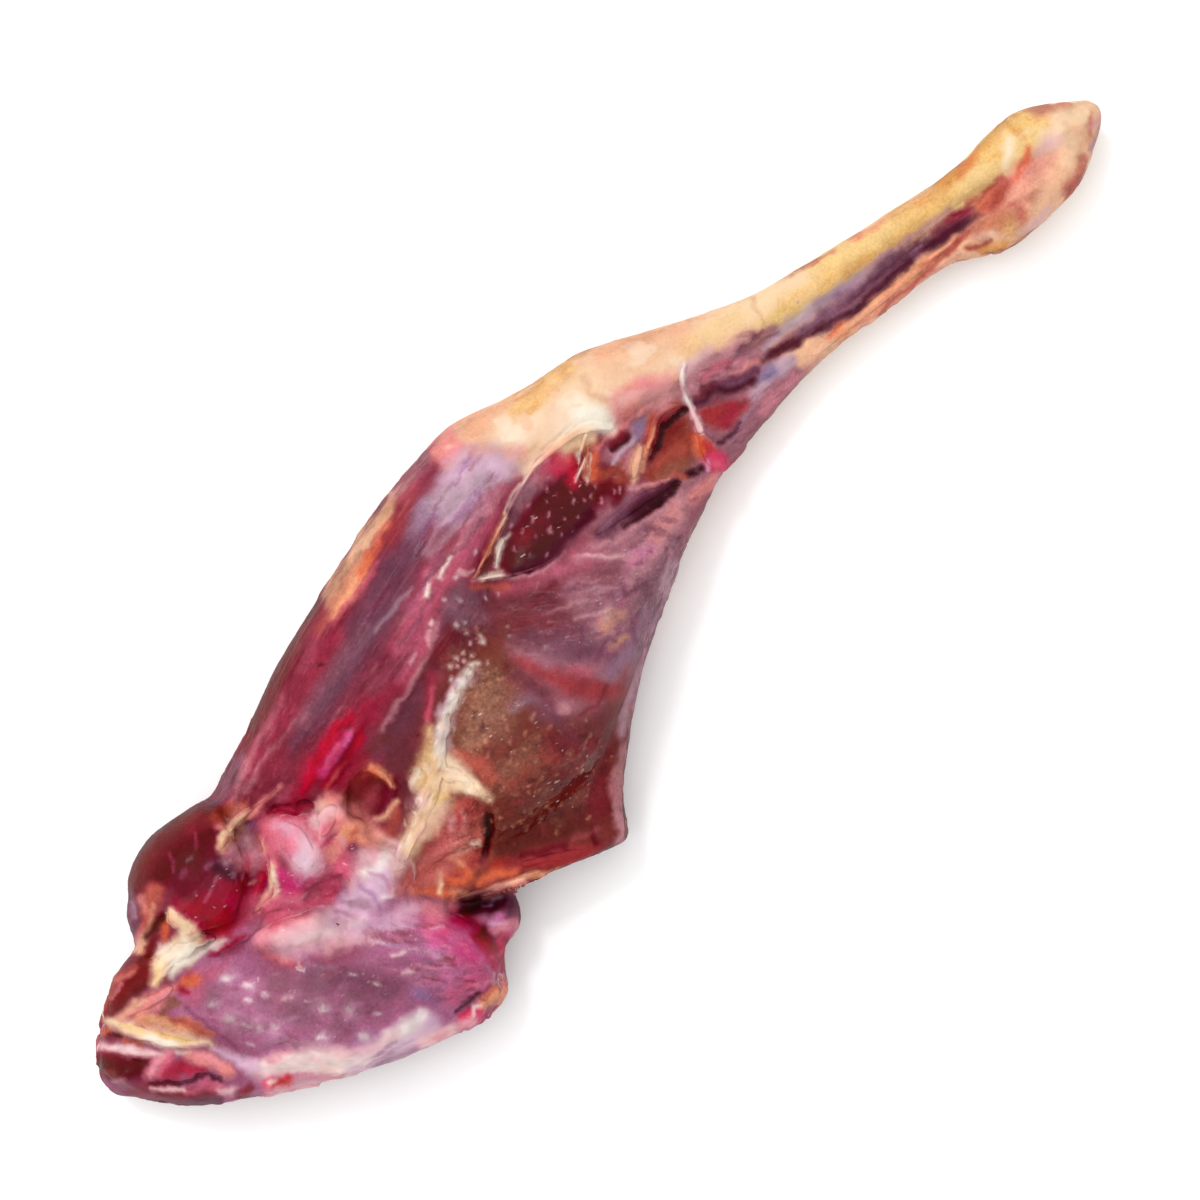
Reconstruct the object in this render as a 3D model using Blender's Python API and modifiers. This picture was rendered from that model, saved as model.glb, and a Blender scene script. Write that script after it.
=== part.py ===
"""A raw hind leg of lamb, lying on its outer side with the inner side up.

The leg is one solid. Each muscle, bone end and lump of fat is a closed form of its own, either a loft
through sections or a lobe, and all of them are fused into one skin, into which the seams and hollows are
pressed. Metres, +Z up. X runs along the leg from the rump (-X) to the hock (+X), Y across it, and the leg
rests on Z = 0.
"""

import math

import bmesh
import bpy
import numpy as np

# The skin: the size of the cells in which the forms are fused, and the triangles left at the end.
SKIN_STEP = 0.0022
SKIN_TRIANGLES = 11400
CREASE_ANGLE = math.radians(50)

# How finely the forms are divided before they are fused.
SECTION_SIDES = 36
RINGS_PER_SPAN = 5
CAP_RINGS = 5
LOBE_SEGMENTS = 32
LOBE_RINGS = 20

MEAT_COLOUR = (0.36, 0.09, 0.12, 1.0)
MEAT_ROUGHNESS = 0.38

# A section of a loft: the distance along X, its low and high side in Y, its underside and its top in Z.
FRONT_THIGH = (
    (-0.152, 0.020, 0.0488, 0.004, 0.044),
    (-0.130, 0.014, 0.0553, -0.003, 0.058),
    (-0.100, 0.009, 0.0655, -0.006, 0.071),
    (-0.070, 0.009, 0.0725, -0.008, 0.078),
    (-0.040, 0.012, 0.0785, -0.008, 0.080),
    (-0.015, 0.022, 0.0818, -0.006, 0.075),
    (0.005, 0.032, 0.0822, -0.003, 0.065),
    (0.022, 0.036, 0.0762, 0.000, 0.055),
)
SHANK_BONE = (
    (-0.005, 0.044, 0.0820, 0.002, 0.062),
    (0.015, 0.042, 0.0787, 0.002, 0.061),
    (0.035, 0.038, 0.0722, 0.002, 0.058),
    (0.057, 0.033, 0.0680, 0.004, 0.053),
    (0.072, 0.030, 0.0608, 0.006, 0.047),
    (0.092, 0.026, 0.0502, 0.007, 0.041),
    (0.115, 0.021, 0.0390, 0.008, 0.037),
    (0.140, 0.016, 0.0320, 0.008, 0.034),
    (0.165, 0.012, 0.0260, 0.007, 0.032),
    (0.190, 0.0075, 0.0203, 0.005, 0.031),
    (0.210, 0.002, 0.0176, 0.002, 0.033),
    (0.225, -0.004, 0.0182, -0.001, 0.037),
    (0.238, -0.008, 0.0160, -0.001, 0.038),
    (0.250, -0.009, 0.0080, 0.004, 0.034),
    (0.257, -0.0088, 0.0015, 0.010, 0.028),
)
HEEL_BONE = (
    (0.187, -0.0108, -0.003, 0.008, 0.020),
    (0.196, -0.0166, 0.002, 0.004, 0.028),
    (0.206, -0.0197, 0.002, 0.001, 0.032),
    (0.220, -0.0202, 0.004, -0.001, 0.035),
    (0.233, -0.0200, 0.004, 0.000, 0.035),
    (0.243, -0.0170, 0.004, 0.003, 0.032),
    (0.252, -0.0118, 0.003, 0.008, 0.028),
)
HEEL_TENDON = (
    (0.055, -0.0031, 0.006, 0.010, 0.032),
    (0.080, -0.0004, 0.008, 0.011, 0.028),
    (0.110, 0.0019, 0.009, 0.012, 0.025),
    (0.130, 0.0013, 0.008, 0.012, 0.024),
    (0.150, -0.0018, 0.0055, 0.011, 0.023),
    (0.170, -0.0044, 0.003, 0.010, 0.022),
    (0.190, -0.0094, 0.001, 0.009, 0.022),
    (0.200, -0.0120, 0.000, 0.008, 0.022),
)
CALF = (
    (0.000, 0.000, 0.048, 0.002, 0.052),
    (0.030, 0.002, 0.046, 0.003, 0.047),
    (0.060, 0.002, 0.042, 0.005, 0.040),
    (0.090, 0.003, 0.032, 0.008, 0.032),
    (0.120, 0.003, 0.025, 0.009, 0.0265),
    (0.150, 0.001, 0.019, 0.009, 0.0250),
    (0.180, -0.001, 0.013, 0.009, 0.0250),
    (0.205, -0.003, 0.008, 0.007, 0.0250),
)
INNER_THIGH = (
    (-0.117, -0.034, 0.026, 0.000, 0.050),
    (-0.100, -0.042, 0.030, -0.005, 0.060),
    (-0.075, -0.047, 0.036, -0.007, 0.066),
    (-0.045, -0.046, 0.042, -0.008, 0.070),
    (-0.015, -0.033, 0.046, -0.007, 0.069),
    (0.010, -0.020, 0.044, -0.004, 0.062),
    (0.030, -0.0135, 0.038, 0.000, 0.052),
    (0.050, -0.0062, 0.022, 0.006, 0.038),
    (0.062, -0.0020, 0.010, 0.009, 0.031),
)
FLAP = (
    (-0.119, -0.0420, 0.010, 0.008, 0.040),
    (-0.100, -0.0545, 0.010, 0.000, 0.044),
    (-0.080, -0.0640, 0.010, -0.003, 0.044),
    (-0.064, -0.0712, 0.010, -0.004, 0.041),
    (-0.056, -0.0725, 0.010, -0.004, 0.039),
    (-0.045, -0.0585, 0.010, -0.004, 0.040),
    (-0.022, -0.0412, 0.010, -0.004, 0.040),
    (0.000, -0.0280, 0.010, -0.002, 0.036),
    (0.028, -0.0152, 0.010, 0.002, 0.031),
)
RUMP = (
    (-0.2575, -0.0085, 0.0055, 0.008, 0.026),
    (-0.250, -0.0180, 0.0132, 0.003, 0.036),
    (-0.240, -0.0298, 0.0190, 0.000, 0.044),
    (-0.228, -0.0390, 0.0245, -0.003, 0.049),
    (-0.212, -0.0495, 0.0260, -0.005, 0.052),
    (-0.195, -0.0605, 0.0280, -0.006, 0.054),
    (-0.175, -0.0708, 0.0320, -0.007, 0.055),
    (-0.155, -0.0788, 0.0350, -0.007, 0.055),
    (-0.140, -0.0825, 0.0330, -0.006, 0.052),
    (-0.129, -0.0795, 0.0300, -0.004, 0.048),
    (-0.119, -0.0697, 0.0280, 0.000, 0.043),
    (-0.104, -0.0520, 0.0260, 0.004, 0.040),
)
RED_LOBE = (
    (-0.197, 0.012, 0.0487, 0.006, 0.054),
    (-0.190, 0.008, 0.0515, 0.004, 0.061),
    (-0.180, 0.005, 0.0532, 0.002, 0.066),
    (-0.168, 0.010, 0.0512, 0.002, 0.065),
    (-0.159, 0.018, 0.0490, 0.006, 0.059),
)
# The bed of muscle that fills the valley between the front and the inner thigh, as far as the calf.
BED = (
    (-0.125, -0.030, 0.048, 0.000, 0.046),
    (-0.100, -0.036, 0.060, -0.004, 0.060),
    (-0.070, -0.040, 0.066, -0.006, 0.068),
    (-0.040, -0.036, 0.070, -0.006, 0.071),
    (-0.010, -0.026, 0.072, -0.004, 0.066),
    (0.020, -0.013, 0.070, 0.000, 0.056),
    (0.050, -0.004, 0.060, 0.004, 0.045),
    (0.085, 0.002, 0.044, 0.008, 0.034),
)
RUMP_EYE = (
    (-0.046, -0.018, 0.014, 0.012, 0.052),
    (-0.028, -0.030, 0.022, 0.010, 0.060),
    (0.000, -0.034, 0.027, 0.010, 0.066),
    (0.028, -0.031, 0.026, 0.010, 0.063),
    (0.046, -0.022, 0.020, 0.012, 0.054),
)
RUMP_EYE_PLACE = (-0.174, -0.027)
RUMP_EYE_HEADING = math.radians(-37)

# Slabs of fat and meat that end the rump, each a short wall across it: x, the two ends in Y, half thickness
# and top.
END_SLABS = (
    (-0.250, -0.012, 0.005, 0.0055, 0.043),
    (-0.238, -0.026, 0.014, 0.0050, 0.051),
    (-0.224, -0.034, 0.020, 0.0050, 0.056),
)
SLAB_LEAN = math.radians(22)

# A hollow or a seam that is pressed into the upper side: its line, half width and depth. Below zero it is
# a raised fold.
PRESSED = (
    ("hollow_behind_knee", ((-0.020, 0.030), (0.004, 0.036), (0.030, 0.030)), 0.015, 0.0060),
    ("hollow_over_calf", ((0.046, 0.020), (0.066, 0.021)), 0.010, 0.0050),
    ("hollow_beside_tendon", ((0.080, 0.016), (0.100, 0.013)), 0.008, 0.0030),
    ("seam_over_knee", ((-0.110, 0.018), (-0.060, 0.032), (-0.030, 0.038)), 0.006, 0.0020),
    ("seam_beside_red_lobe", ((-0.194, 0.012), (-0.180, 0.004), (-0.158, 0.016), (-0.153, 0.036)), 0.005, 0.004),
    ("crease_in_membrane", ((-0.176, 0.006), (-0.158, -0.004), (-0.142, -0.009)), 0.006, 0.0035),
    ("slit_in_hip", ((-0.142, 0.028), (-0.129, 0.018)), 0.004, 0.0050),
    ("pit_in_hip", ((-0.116, 0.006), (-0.108, 0.006)), 0.009, 0.0070),
    ("edge_of_cut_face", ((-0.125, -0.030), (-0.100, -0.036), (-0.084, -0.026)), 0.006, 0.0040),
    ("cleft_beside_flap", ((-0.118, -0.044), (-0.106, -0.054)), 0.006, 0.0060),
    ("end_of_purple_muscle", ((-0.216, -0.018), (-0.215, -0.030), (-0.196, -0.038), (-0.192, -0.050)), 0.004, 0.002),
    ("fold_of_white_fat", ((-0.214, 0.014), (-0.198, 0.016), (-0.192, 0.024)), 0.009, -0.0040),
    ("seam_of_fat", ((-0.126, -0.020), (-0.104, -0.008), (-0.085, 0.006), (-0.060, 0.016)), 0.010, -0.0030),
    ("rim_of_flap", ((-0.118, -0.042), (-0.100, -0.052), (-0.078, -0.060), (-0.060, -0.067)), 0.006, -0.0030),
)


def clear_scene():
    for old in list(bpy.data.objects):
        bpy.data.objects.remove(old, do_unlink=True)


def collection(name):
    made = bpy.data.collections.new(name)
    bpy.context.scene.collection.children.link(made)
    return made


def meat_material():
    material = bpy.data.materials.new("raw_meat")
    material.use_nodes = True
    shader = material.node_tree.nodes["Principled BSDF"]
    shader.inputs["Base Color"].default_value = MEAT_COLOUR
    shader.inputs["Roughness"].default_value = MEAT_ROUGHNESS
    shader.inputs["Metallic"].default_value = 0.0
    return material


def with_sections_between(sections):
    """The sections with others between them, on a smooth curve through all of them."""
    points = np.array(sections, float)
    points = np.vstack([2 * points[0] - points[1], points, 2 * points[-1] - points[-2]])
    rows = []
    for before, start, end, after in zip(points, points[1:], points[2:], points[3:]):
        for t in np.arange(RINGS_PER_SPAN) / RINGS_PER_SPAN:
            slope = 0.5 * t * (end - before)
            bend = t**2 * (before - 2.5 * start + 2 * end - 0.5 * after)
            twist = t**3 * (1.5 * (start - end) + 0.5 * (after - before))
            rows.append(start + slope + bend + twist)
    return rows + [points[-2]]


def shrunk(section, along, share):
    """The section moved to another distance along X and made smaller about its middle."""
    _, low, high, under, top = section
    middle_y, middle_z = (low + high) / 2, (under + top) / 2
    half_y, half_z = share * (high - low) / 2, share * (top - under) / 2
    return (along, middle_y - half_y, middle_y + half_y, middle_z - half_z, middle_z + half_z)


def with_round_ends(rows, length):
    """The sections with a rounded end of this length before and after them."""
    first, last = rows[0], rows[-1]
    turns = np.linspace(0, math.pi / 2, CAP_RINGS + 1)[1:-1]
    front = [shrunk(first, first[0] - length * math.sin(a), math.cos(a)) for a in reversed(turns)]
    back = [shrunk(last, last[0] + length * math.sin(a), math.cos(a)) for a in turns]
    return front + rows + back


def section_point(section, turn, squareness):
    """A point on the section, a rounded box: 2 is an ellipse, and more is squarer."""
    along, low, high, under, top = section
    c, s = math.cos(turn), math.sin(turn)
    across = math.copysign(abs(c) ** (2 / squareness), c)
    height = math.copysign(abs(s) ** (2 / squareness), s)
    y = (low + high) / 2 + across * (high - low) / 2
    z = (under + top) / 2 + height * (top - under) / 2
    return along, y, z


def loft(name, sections, end=0.008, squareness=2.3, place=(0, 0), heading=0.0):
    """A closed form through the sections, which differ in width, height and place."""
    rows = with_round_ends(with_sections_between(sections), end)
    turns = [2 * math.pi * k / SECTION_SIDES for k in range(SECTION_SIDES)]
    mesh = bmesh.new()
    rings = [[mesh.verts.new(section_point(row, turn, squareness)) for turn in turns] for row in rows]
    for ring, following in zip(rings, rings[1:]):
        for k in range(SECTION_SIDES):
            n = (k + 1) % SECTION_SIDES
            mesh.faces.new((ring[k], following[k], following[n], ring[n]))
    mesh.faces.new(rings[0])
    mesh.faces.new(rings[-1])
    bmesh.ops.recalc_face_normals(mesh, faces=mesh.faces)
    data = bpy.data.meshes.new(name)
    mesh.to_mesh(data)
    mesh.free()
    form = bpy.data.objects.new(name, data)
    form.location = (*place, 0)
    form.rotation_euler.z = heading
    return form


def lobe(name, centre, radii, heading=0.0):
    """A rounded lump of muscle or fat."""
    mesh = bmesh.new()
    bmesh.ops.create_uvsphere(mesh, u_segments=LOBE_SEGMENTS, v_segments=LOBE_RINGS, radius=1)
    bmesh.ops.scale(mesh, vec=radii, verts=mesh.verts)
    data = bpy.data.meshes.new(name)
    mesh.to_mesh(data)
    mesh.free()
    form = bpy.data.objects.new(name, data)
    form.location = centre
    form.rotation_euler.z = math.radians(heading)
    return form


def end_slab(number, along, low, high, half_thickness, top):
    sections = [
        (low, -half_thickness, half_thickness, 0.004, top - 0.010),
        ((low + high) / 2, -half_thickness, half_thickness, 0.002, top),
        (high, -half_thickness, half_thickness, 0.006, top - 0.008),
    ]
    turn = math.pi / 2 + SLAB_LEAN
    return loft(f"end_slab_{number}", sections, end=0.003, place=(along, 0), heading=turn)


def forms():
    """All the forms that are fused into the leg."""
    slabs = [end_slab(number, *slab) for number, slab in enumerate(END_SLABS)]
    return slabs + [
        loft("front_thigh", FRONT_THIGH, end=0.010),
        loft("shank_bone", SHANK_BONE, end=0.003),
        loft("heel_bone", HEEL_BONE, end=0.004),
        loft("heel_tendon", HEEL_TENDON, end=0.004),
        loft("calf", CALF),
        loft("inner_thigh", INNER_THIGH, end=0.006),
        loft("flap", FLAP, end=0.003, squareness=3.4),
        loft("rump", RUMP, end=0.003, squareness=2.6),
        loft("rump_eye", RUMP_EYE, place=RUMP_EYE_PLACE, heading=RUMP_EYE_HEADING),
        loft("red_lobe", RED_LOBE, end=0.006),
        loft("bed", BED, squareness=2.2),
        lobe("lilac_edge", (-0.2015, 0.029, 0.028), (0.0105, 0.0170, 0.022), -25),
        lobe("brown_edge", (-0.222, 0.016, 0.036), (0.018, 0.0108, 0.018), 12),
        lobe("pink_ridge_low", (-0.168, -0.007, 0.050), (0.018, 0.011, 0.018), -25),
        lobe("pink_ridge_high", (-0.144, 0.010, 0.046), (0.017, 0.019, 0.021)),
        lobe("white_ridge", (-0.134, -0.014, 0.042), (0.015, 0.022, 0.021), 20),
        lobe("salmon_lump", (-0.124, 0.008, 0.040), (0.010, 0.012, 0.020)),
        lobe("hip_core", (-0.122, 0.022, 0.026), (0.030, 0.026, 0.028)),
        lobe("striped_muscle", (-0.137, -0.050, 0.032), (0.018, 0.027, 0.027), 20),
        lobe("purple_chunk", (-0.1142, -0.0560, 0.020), (0.0125, 0.0130, 0.017), 30),
        lobe("end_fat", (-0.138, -0.0745, 0.018), (0.0135, 0.0085, 0.016), -10),
    ]


def joined(name, parts):
    """One mesh object that holds all the parts, in their places."""
    for part in parts:
        bpy.context.scene.collection.objects.link(part)
    bpy.context.view_layer.update()
    shape = bmesh.new()
    for part in parts:
        placed = part.data.copy()
        placed.transform(part.matrix_world)
        shape.from_mesh(placed)
        bpy.data.objects.remove(part, do_unlink=True)
    data = bpy.data.meshes.new(name)
    shape.to_mesh(data)
    shape.free()
    return bpy.data.objects.new(name, data)


def apply_modifiers(thing):
    bpy.context.view_layer.update()
    graph = bpy.context.evaluated_depsgraph_get()
    data = bpy.data.meshes.new_from_object(thing.evaluated_get(graph))
    thing.modifiers.clear()
    thing.data = data


def fuse(thing):
    """Makes one skin of the forms and softens it where they meet."""
    cells = thing.modifiers.new("Fuse", "REMESH")
    cells.mode = "VOXEL"
    cells.voxel_size = SKIN_STEP
    soften = thing.modifiers.new("Soften", "SMOOTH")
    soften.factor = 0.5
    soften.iterations = 3
    apply_modifiers(thing)


def keep_outer_skin(thing):
    """Removes the skin of every hollow that is shut in between the forms."""
    shape = bmesh.new()
    shape.from_mesh(thing.data)
    left = set(shape.verts)
    bodies = []
    while left:
        body, edge = set(), [left.pop()]
        while edge:
            vertex = edge.pop()
            body.add(vertex)
            near = {e.other_vert(vertex) for e in vertex.link_edges} & left
            left -= near
            edge.extend(near)
        bodies.append(body)
    outer = max(bodies, key=len)
    bmesh.ops.delete(shape, geom=[v for v in shape.verts if v not in outer], context="VERTS")
    shape.to_mesh(thing.data)
    shape.free()


def distance_to_line(points, line):
    """The distance in plan from each point to a line through several places."""
    nearest = np.full(len(points), np.inf)
    for start, end in zip(np.array(line), np.array(line[1:])):
        run = end - start
        share = np.clip((points[:, :2] - start) @ run / (run @ run), 0, 1)
        away = points[:, :2] - start - share[:, None] * run
        nearest = np.minimum(nearest, np.hypot(away[:, 0], away[:, 1]))
    return nearest


def press(thing):
    """Presses the hollows and seams into the upper side, and flattens what lies on the table."""
    count = len(thing.data.vertices)
    places, normals = np.empty(count * 3), np.empty(count * 3)
    thing.data.vertices.foreach_get("co", places)
    thing.data.vertices.foreach_get("normal", normals)
    places, normals = places.reshape(-1, 3), normals.reshape(-1, 3)
    facing_up = np.clip(normals[:, 2] * 2, 0, 1)
    for _, line, half_width, depth in PRESSED:
        near = np.clip(1 - distance_to_line(places, line) / half_width, 0, 1)
        fall = near**2 * (3 - 2 * near)
        places -= (fall * facing_up * depth)[:, None] * normals
    places[:, 2] = np.maximum(places[:, 2], 0)
    thing.data.vertices.foreach_set("co", places.ravel())
    thing.data.update()


def thin_out(thing):
    """Leaves the triangles where the shape needs them."""
    triangles = sum(len(face.vertices) - 2 for face in thing.data.polygons)
    thinner = thing.modifiers.new("Thin", "DECIMATE")
    thinner.ratio = SKIN_TRIANGLES / triangles
    thinner.use_collapse_triangulate = True
    apply_modifiers(thing)


def main():
    clear_scene()
    leg = joined("leg", forms())
    collection("raw_leg_of_lamb").objects.link(leg)
    fuse(leg)
    keep_outer_skin(leg)
    press(leg)
    thin_out(leg)
    leg.data.materials.append(meat_material())
    leg.data.shade_smooth()
    leg.data.set_sharp_from_angle(angle=CREASE_ANGLE)


main()
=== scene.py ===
import math

import bpy
import numpy as np
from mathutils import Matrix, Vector
from mathutils.bvhtree import BVHTree


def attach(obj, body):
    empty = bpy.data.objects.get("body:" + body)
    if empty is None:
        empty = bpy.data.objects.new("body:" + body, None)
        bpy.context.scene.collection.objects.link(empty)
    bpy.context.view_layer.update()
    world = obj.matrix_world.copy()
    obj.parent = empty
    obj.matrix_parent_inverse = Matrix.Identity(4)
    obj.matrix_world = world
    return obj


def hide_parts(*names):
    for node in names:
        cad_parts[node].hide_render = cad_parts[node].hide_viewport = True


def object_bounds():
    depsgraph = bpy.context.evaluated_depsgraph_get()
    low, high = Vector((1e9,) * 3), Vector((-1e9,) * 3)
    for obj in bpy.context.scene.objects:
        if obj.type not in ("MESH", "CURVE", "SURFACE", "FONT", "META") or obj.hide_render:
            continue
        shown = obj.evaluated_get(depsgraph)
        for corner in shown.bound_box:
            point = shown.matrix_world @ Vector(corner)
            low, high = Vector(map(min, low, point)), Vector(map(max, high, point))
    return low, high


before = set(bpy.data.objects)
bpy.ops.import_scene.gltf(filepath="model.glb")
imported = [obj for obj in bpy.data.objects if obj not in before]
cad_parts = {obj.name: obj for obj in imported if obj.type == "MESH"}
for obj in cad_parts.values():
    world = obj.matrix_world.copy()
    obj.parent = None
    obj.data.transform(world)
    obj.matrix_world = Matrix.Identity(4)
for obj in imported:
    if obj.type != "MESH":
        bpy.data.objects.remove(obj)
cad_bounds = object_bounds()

bl_info = {
    "name": "Raw Leg of Lamb",
    "version": (1, 0, 0),
    "blender": (4, 5, 0),
    "location": "3D View > Sidebar > Leg of Lamb",
    "description": "Builds a raw bone-in leg of lamb with its muscles, fat, tendons and hock",
    "category": "Object",
}

# The picture looks straight down. Its scale is true at PICTURE_PLANE, and sizes are in metres.
PICTURE_MIDDLE = (-0.0015, -0.00275)
PICTURE_PLANE = 0.035
PICTURE_WIDTH = 0.444
PICTURE_TURN = math.radians(-45)
LENS_MM = 150
SENSOR_MM = 36
PICTURE_DISTANCE = PICTURE_WIDTH * LENS_MM / SENSOR_MM

# Each tissue's colour, as red, green and blue from 0 to 255, and where it is found.
# white, snow, pale_pink and lilac also paint highlights: glints and sheen on wet tissue.
TISSUES = {
    "wine": ((128, 48, 64), "thigh muscle"),
    "claret": ((158, 40, 62), "fresh red muscle"),
    "dark_wine": ((92, 16, 30), "deep red muscle"),
    "maroon": ((112, 34, 42), "dry dark muscle"),
    "oxblood": ((146, 18, 44), "dark red muscle of the hip"),
    "crimson": ((184, 14, 50), "brightest red muscle"),
    "raspberry": ((203, 61, 98), "pink-red muscle"),
    "rose": ((220, 96, 118), "pink muscle skin"),
    "pink": ((227, 140, 152), "pink membrane"),
    "pale_pink": ((229, 182, 184), "pale membrane"),
    "lilac": ((213, 174, 196), "lilac membrane"),
    "mauve": ((166, 98, 130), "rump muscle under its skin"),
    "dark_mauve": ((146, 81, 108), "rump muscle in shade"),
    "orchid": ((192, 104, 148), "purple-pink rump muscle"),
    "violet": ((150, 96, 142), "violet sheen"),
    "plum": ((108, 60, 78), "purple muscle"),
    "dark_plum": ((74, 28, 42), "dark purple muscle"),
    # black_plum paints shade: the deepest gaps and slits between muscles are painted near black.
    "black_plum": ((52, 16, 24), "deepest gaps"),
    "liver": ((106, 48, 56), "brown-purple muscle"),
    "violet_grey": ((144, 108, 130), "grey-violet fascia"),
    "lilac_grey": ((184, 152, 166), "pale grey-lilac fascia"),
    "blue_grey": ((126, 106, 142), "blue-grey fascia"),
    "brick": ((150, 52, 56), "brick-red muscle"),
    "red": ((178, 44, 46), "red edges"),
    "rust": ((176, 84, 72), "rusty dried edges"),
    "orange": ((212, 100, 68), "orange-red dried fat"),
    "apricot": ((230, 154, 116), "dried thin fat"),
    "peach": ((229, 177, 144), "peach fat"),
    "salmon": ((226, 136, 130), "salmon fat"),
    "tan": ((197, 142, 112), "tan fascia"),
    "cream": ((239, 205, 168), "cream fat"),
    "ivory": ((247, 228, 206), "palest fat"),
    "white": ((232, 222, 214), "white membrane and wet glints"),
    "butter": ((231, 193, 132), "yellow fat over the shin bone"),
    "honey": ((226, 176, 106), "golden fat"),
    "amber": ((208, 142, 76), "dry amber fat edge"),
    "umber": ((132, 82, 66), "olive-brown cut face"),
    "brown": ((108, 48, 42), "brown cut face"),
    "dark_brown": ((84, 34, 32), "dark brown cut face"),
    "rust_brown": ((146, 62, 52), "red-brown muscle at the knee"),
    "magenta": ((206, 62, 118), "magenta-pink muscle"),
    "blush": ((190, 88, 112), "dusky pink muscle"),
    "snow": ((243, 232, 214), "whitest fat and wet glints"),
    "mahogany": ((112, 30, 32), "dark red-brown muscle edge"),
    "fascia": ((156, 100, 112), "mauve fascia"),
    "dusk": ((132, 88, 102), "dusky fascia"),
    "pink_grey": ((192, 132, 140), "pink-grey fascia"),
}

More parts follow.
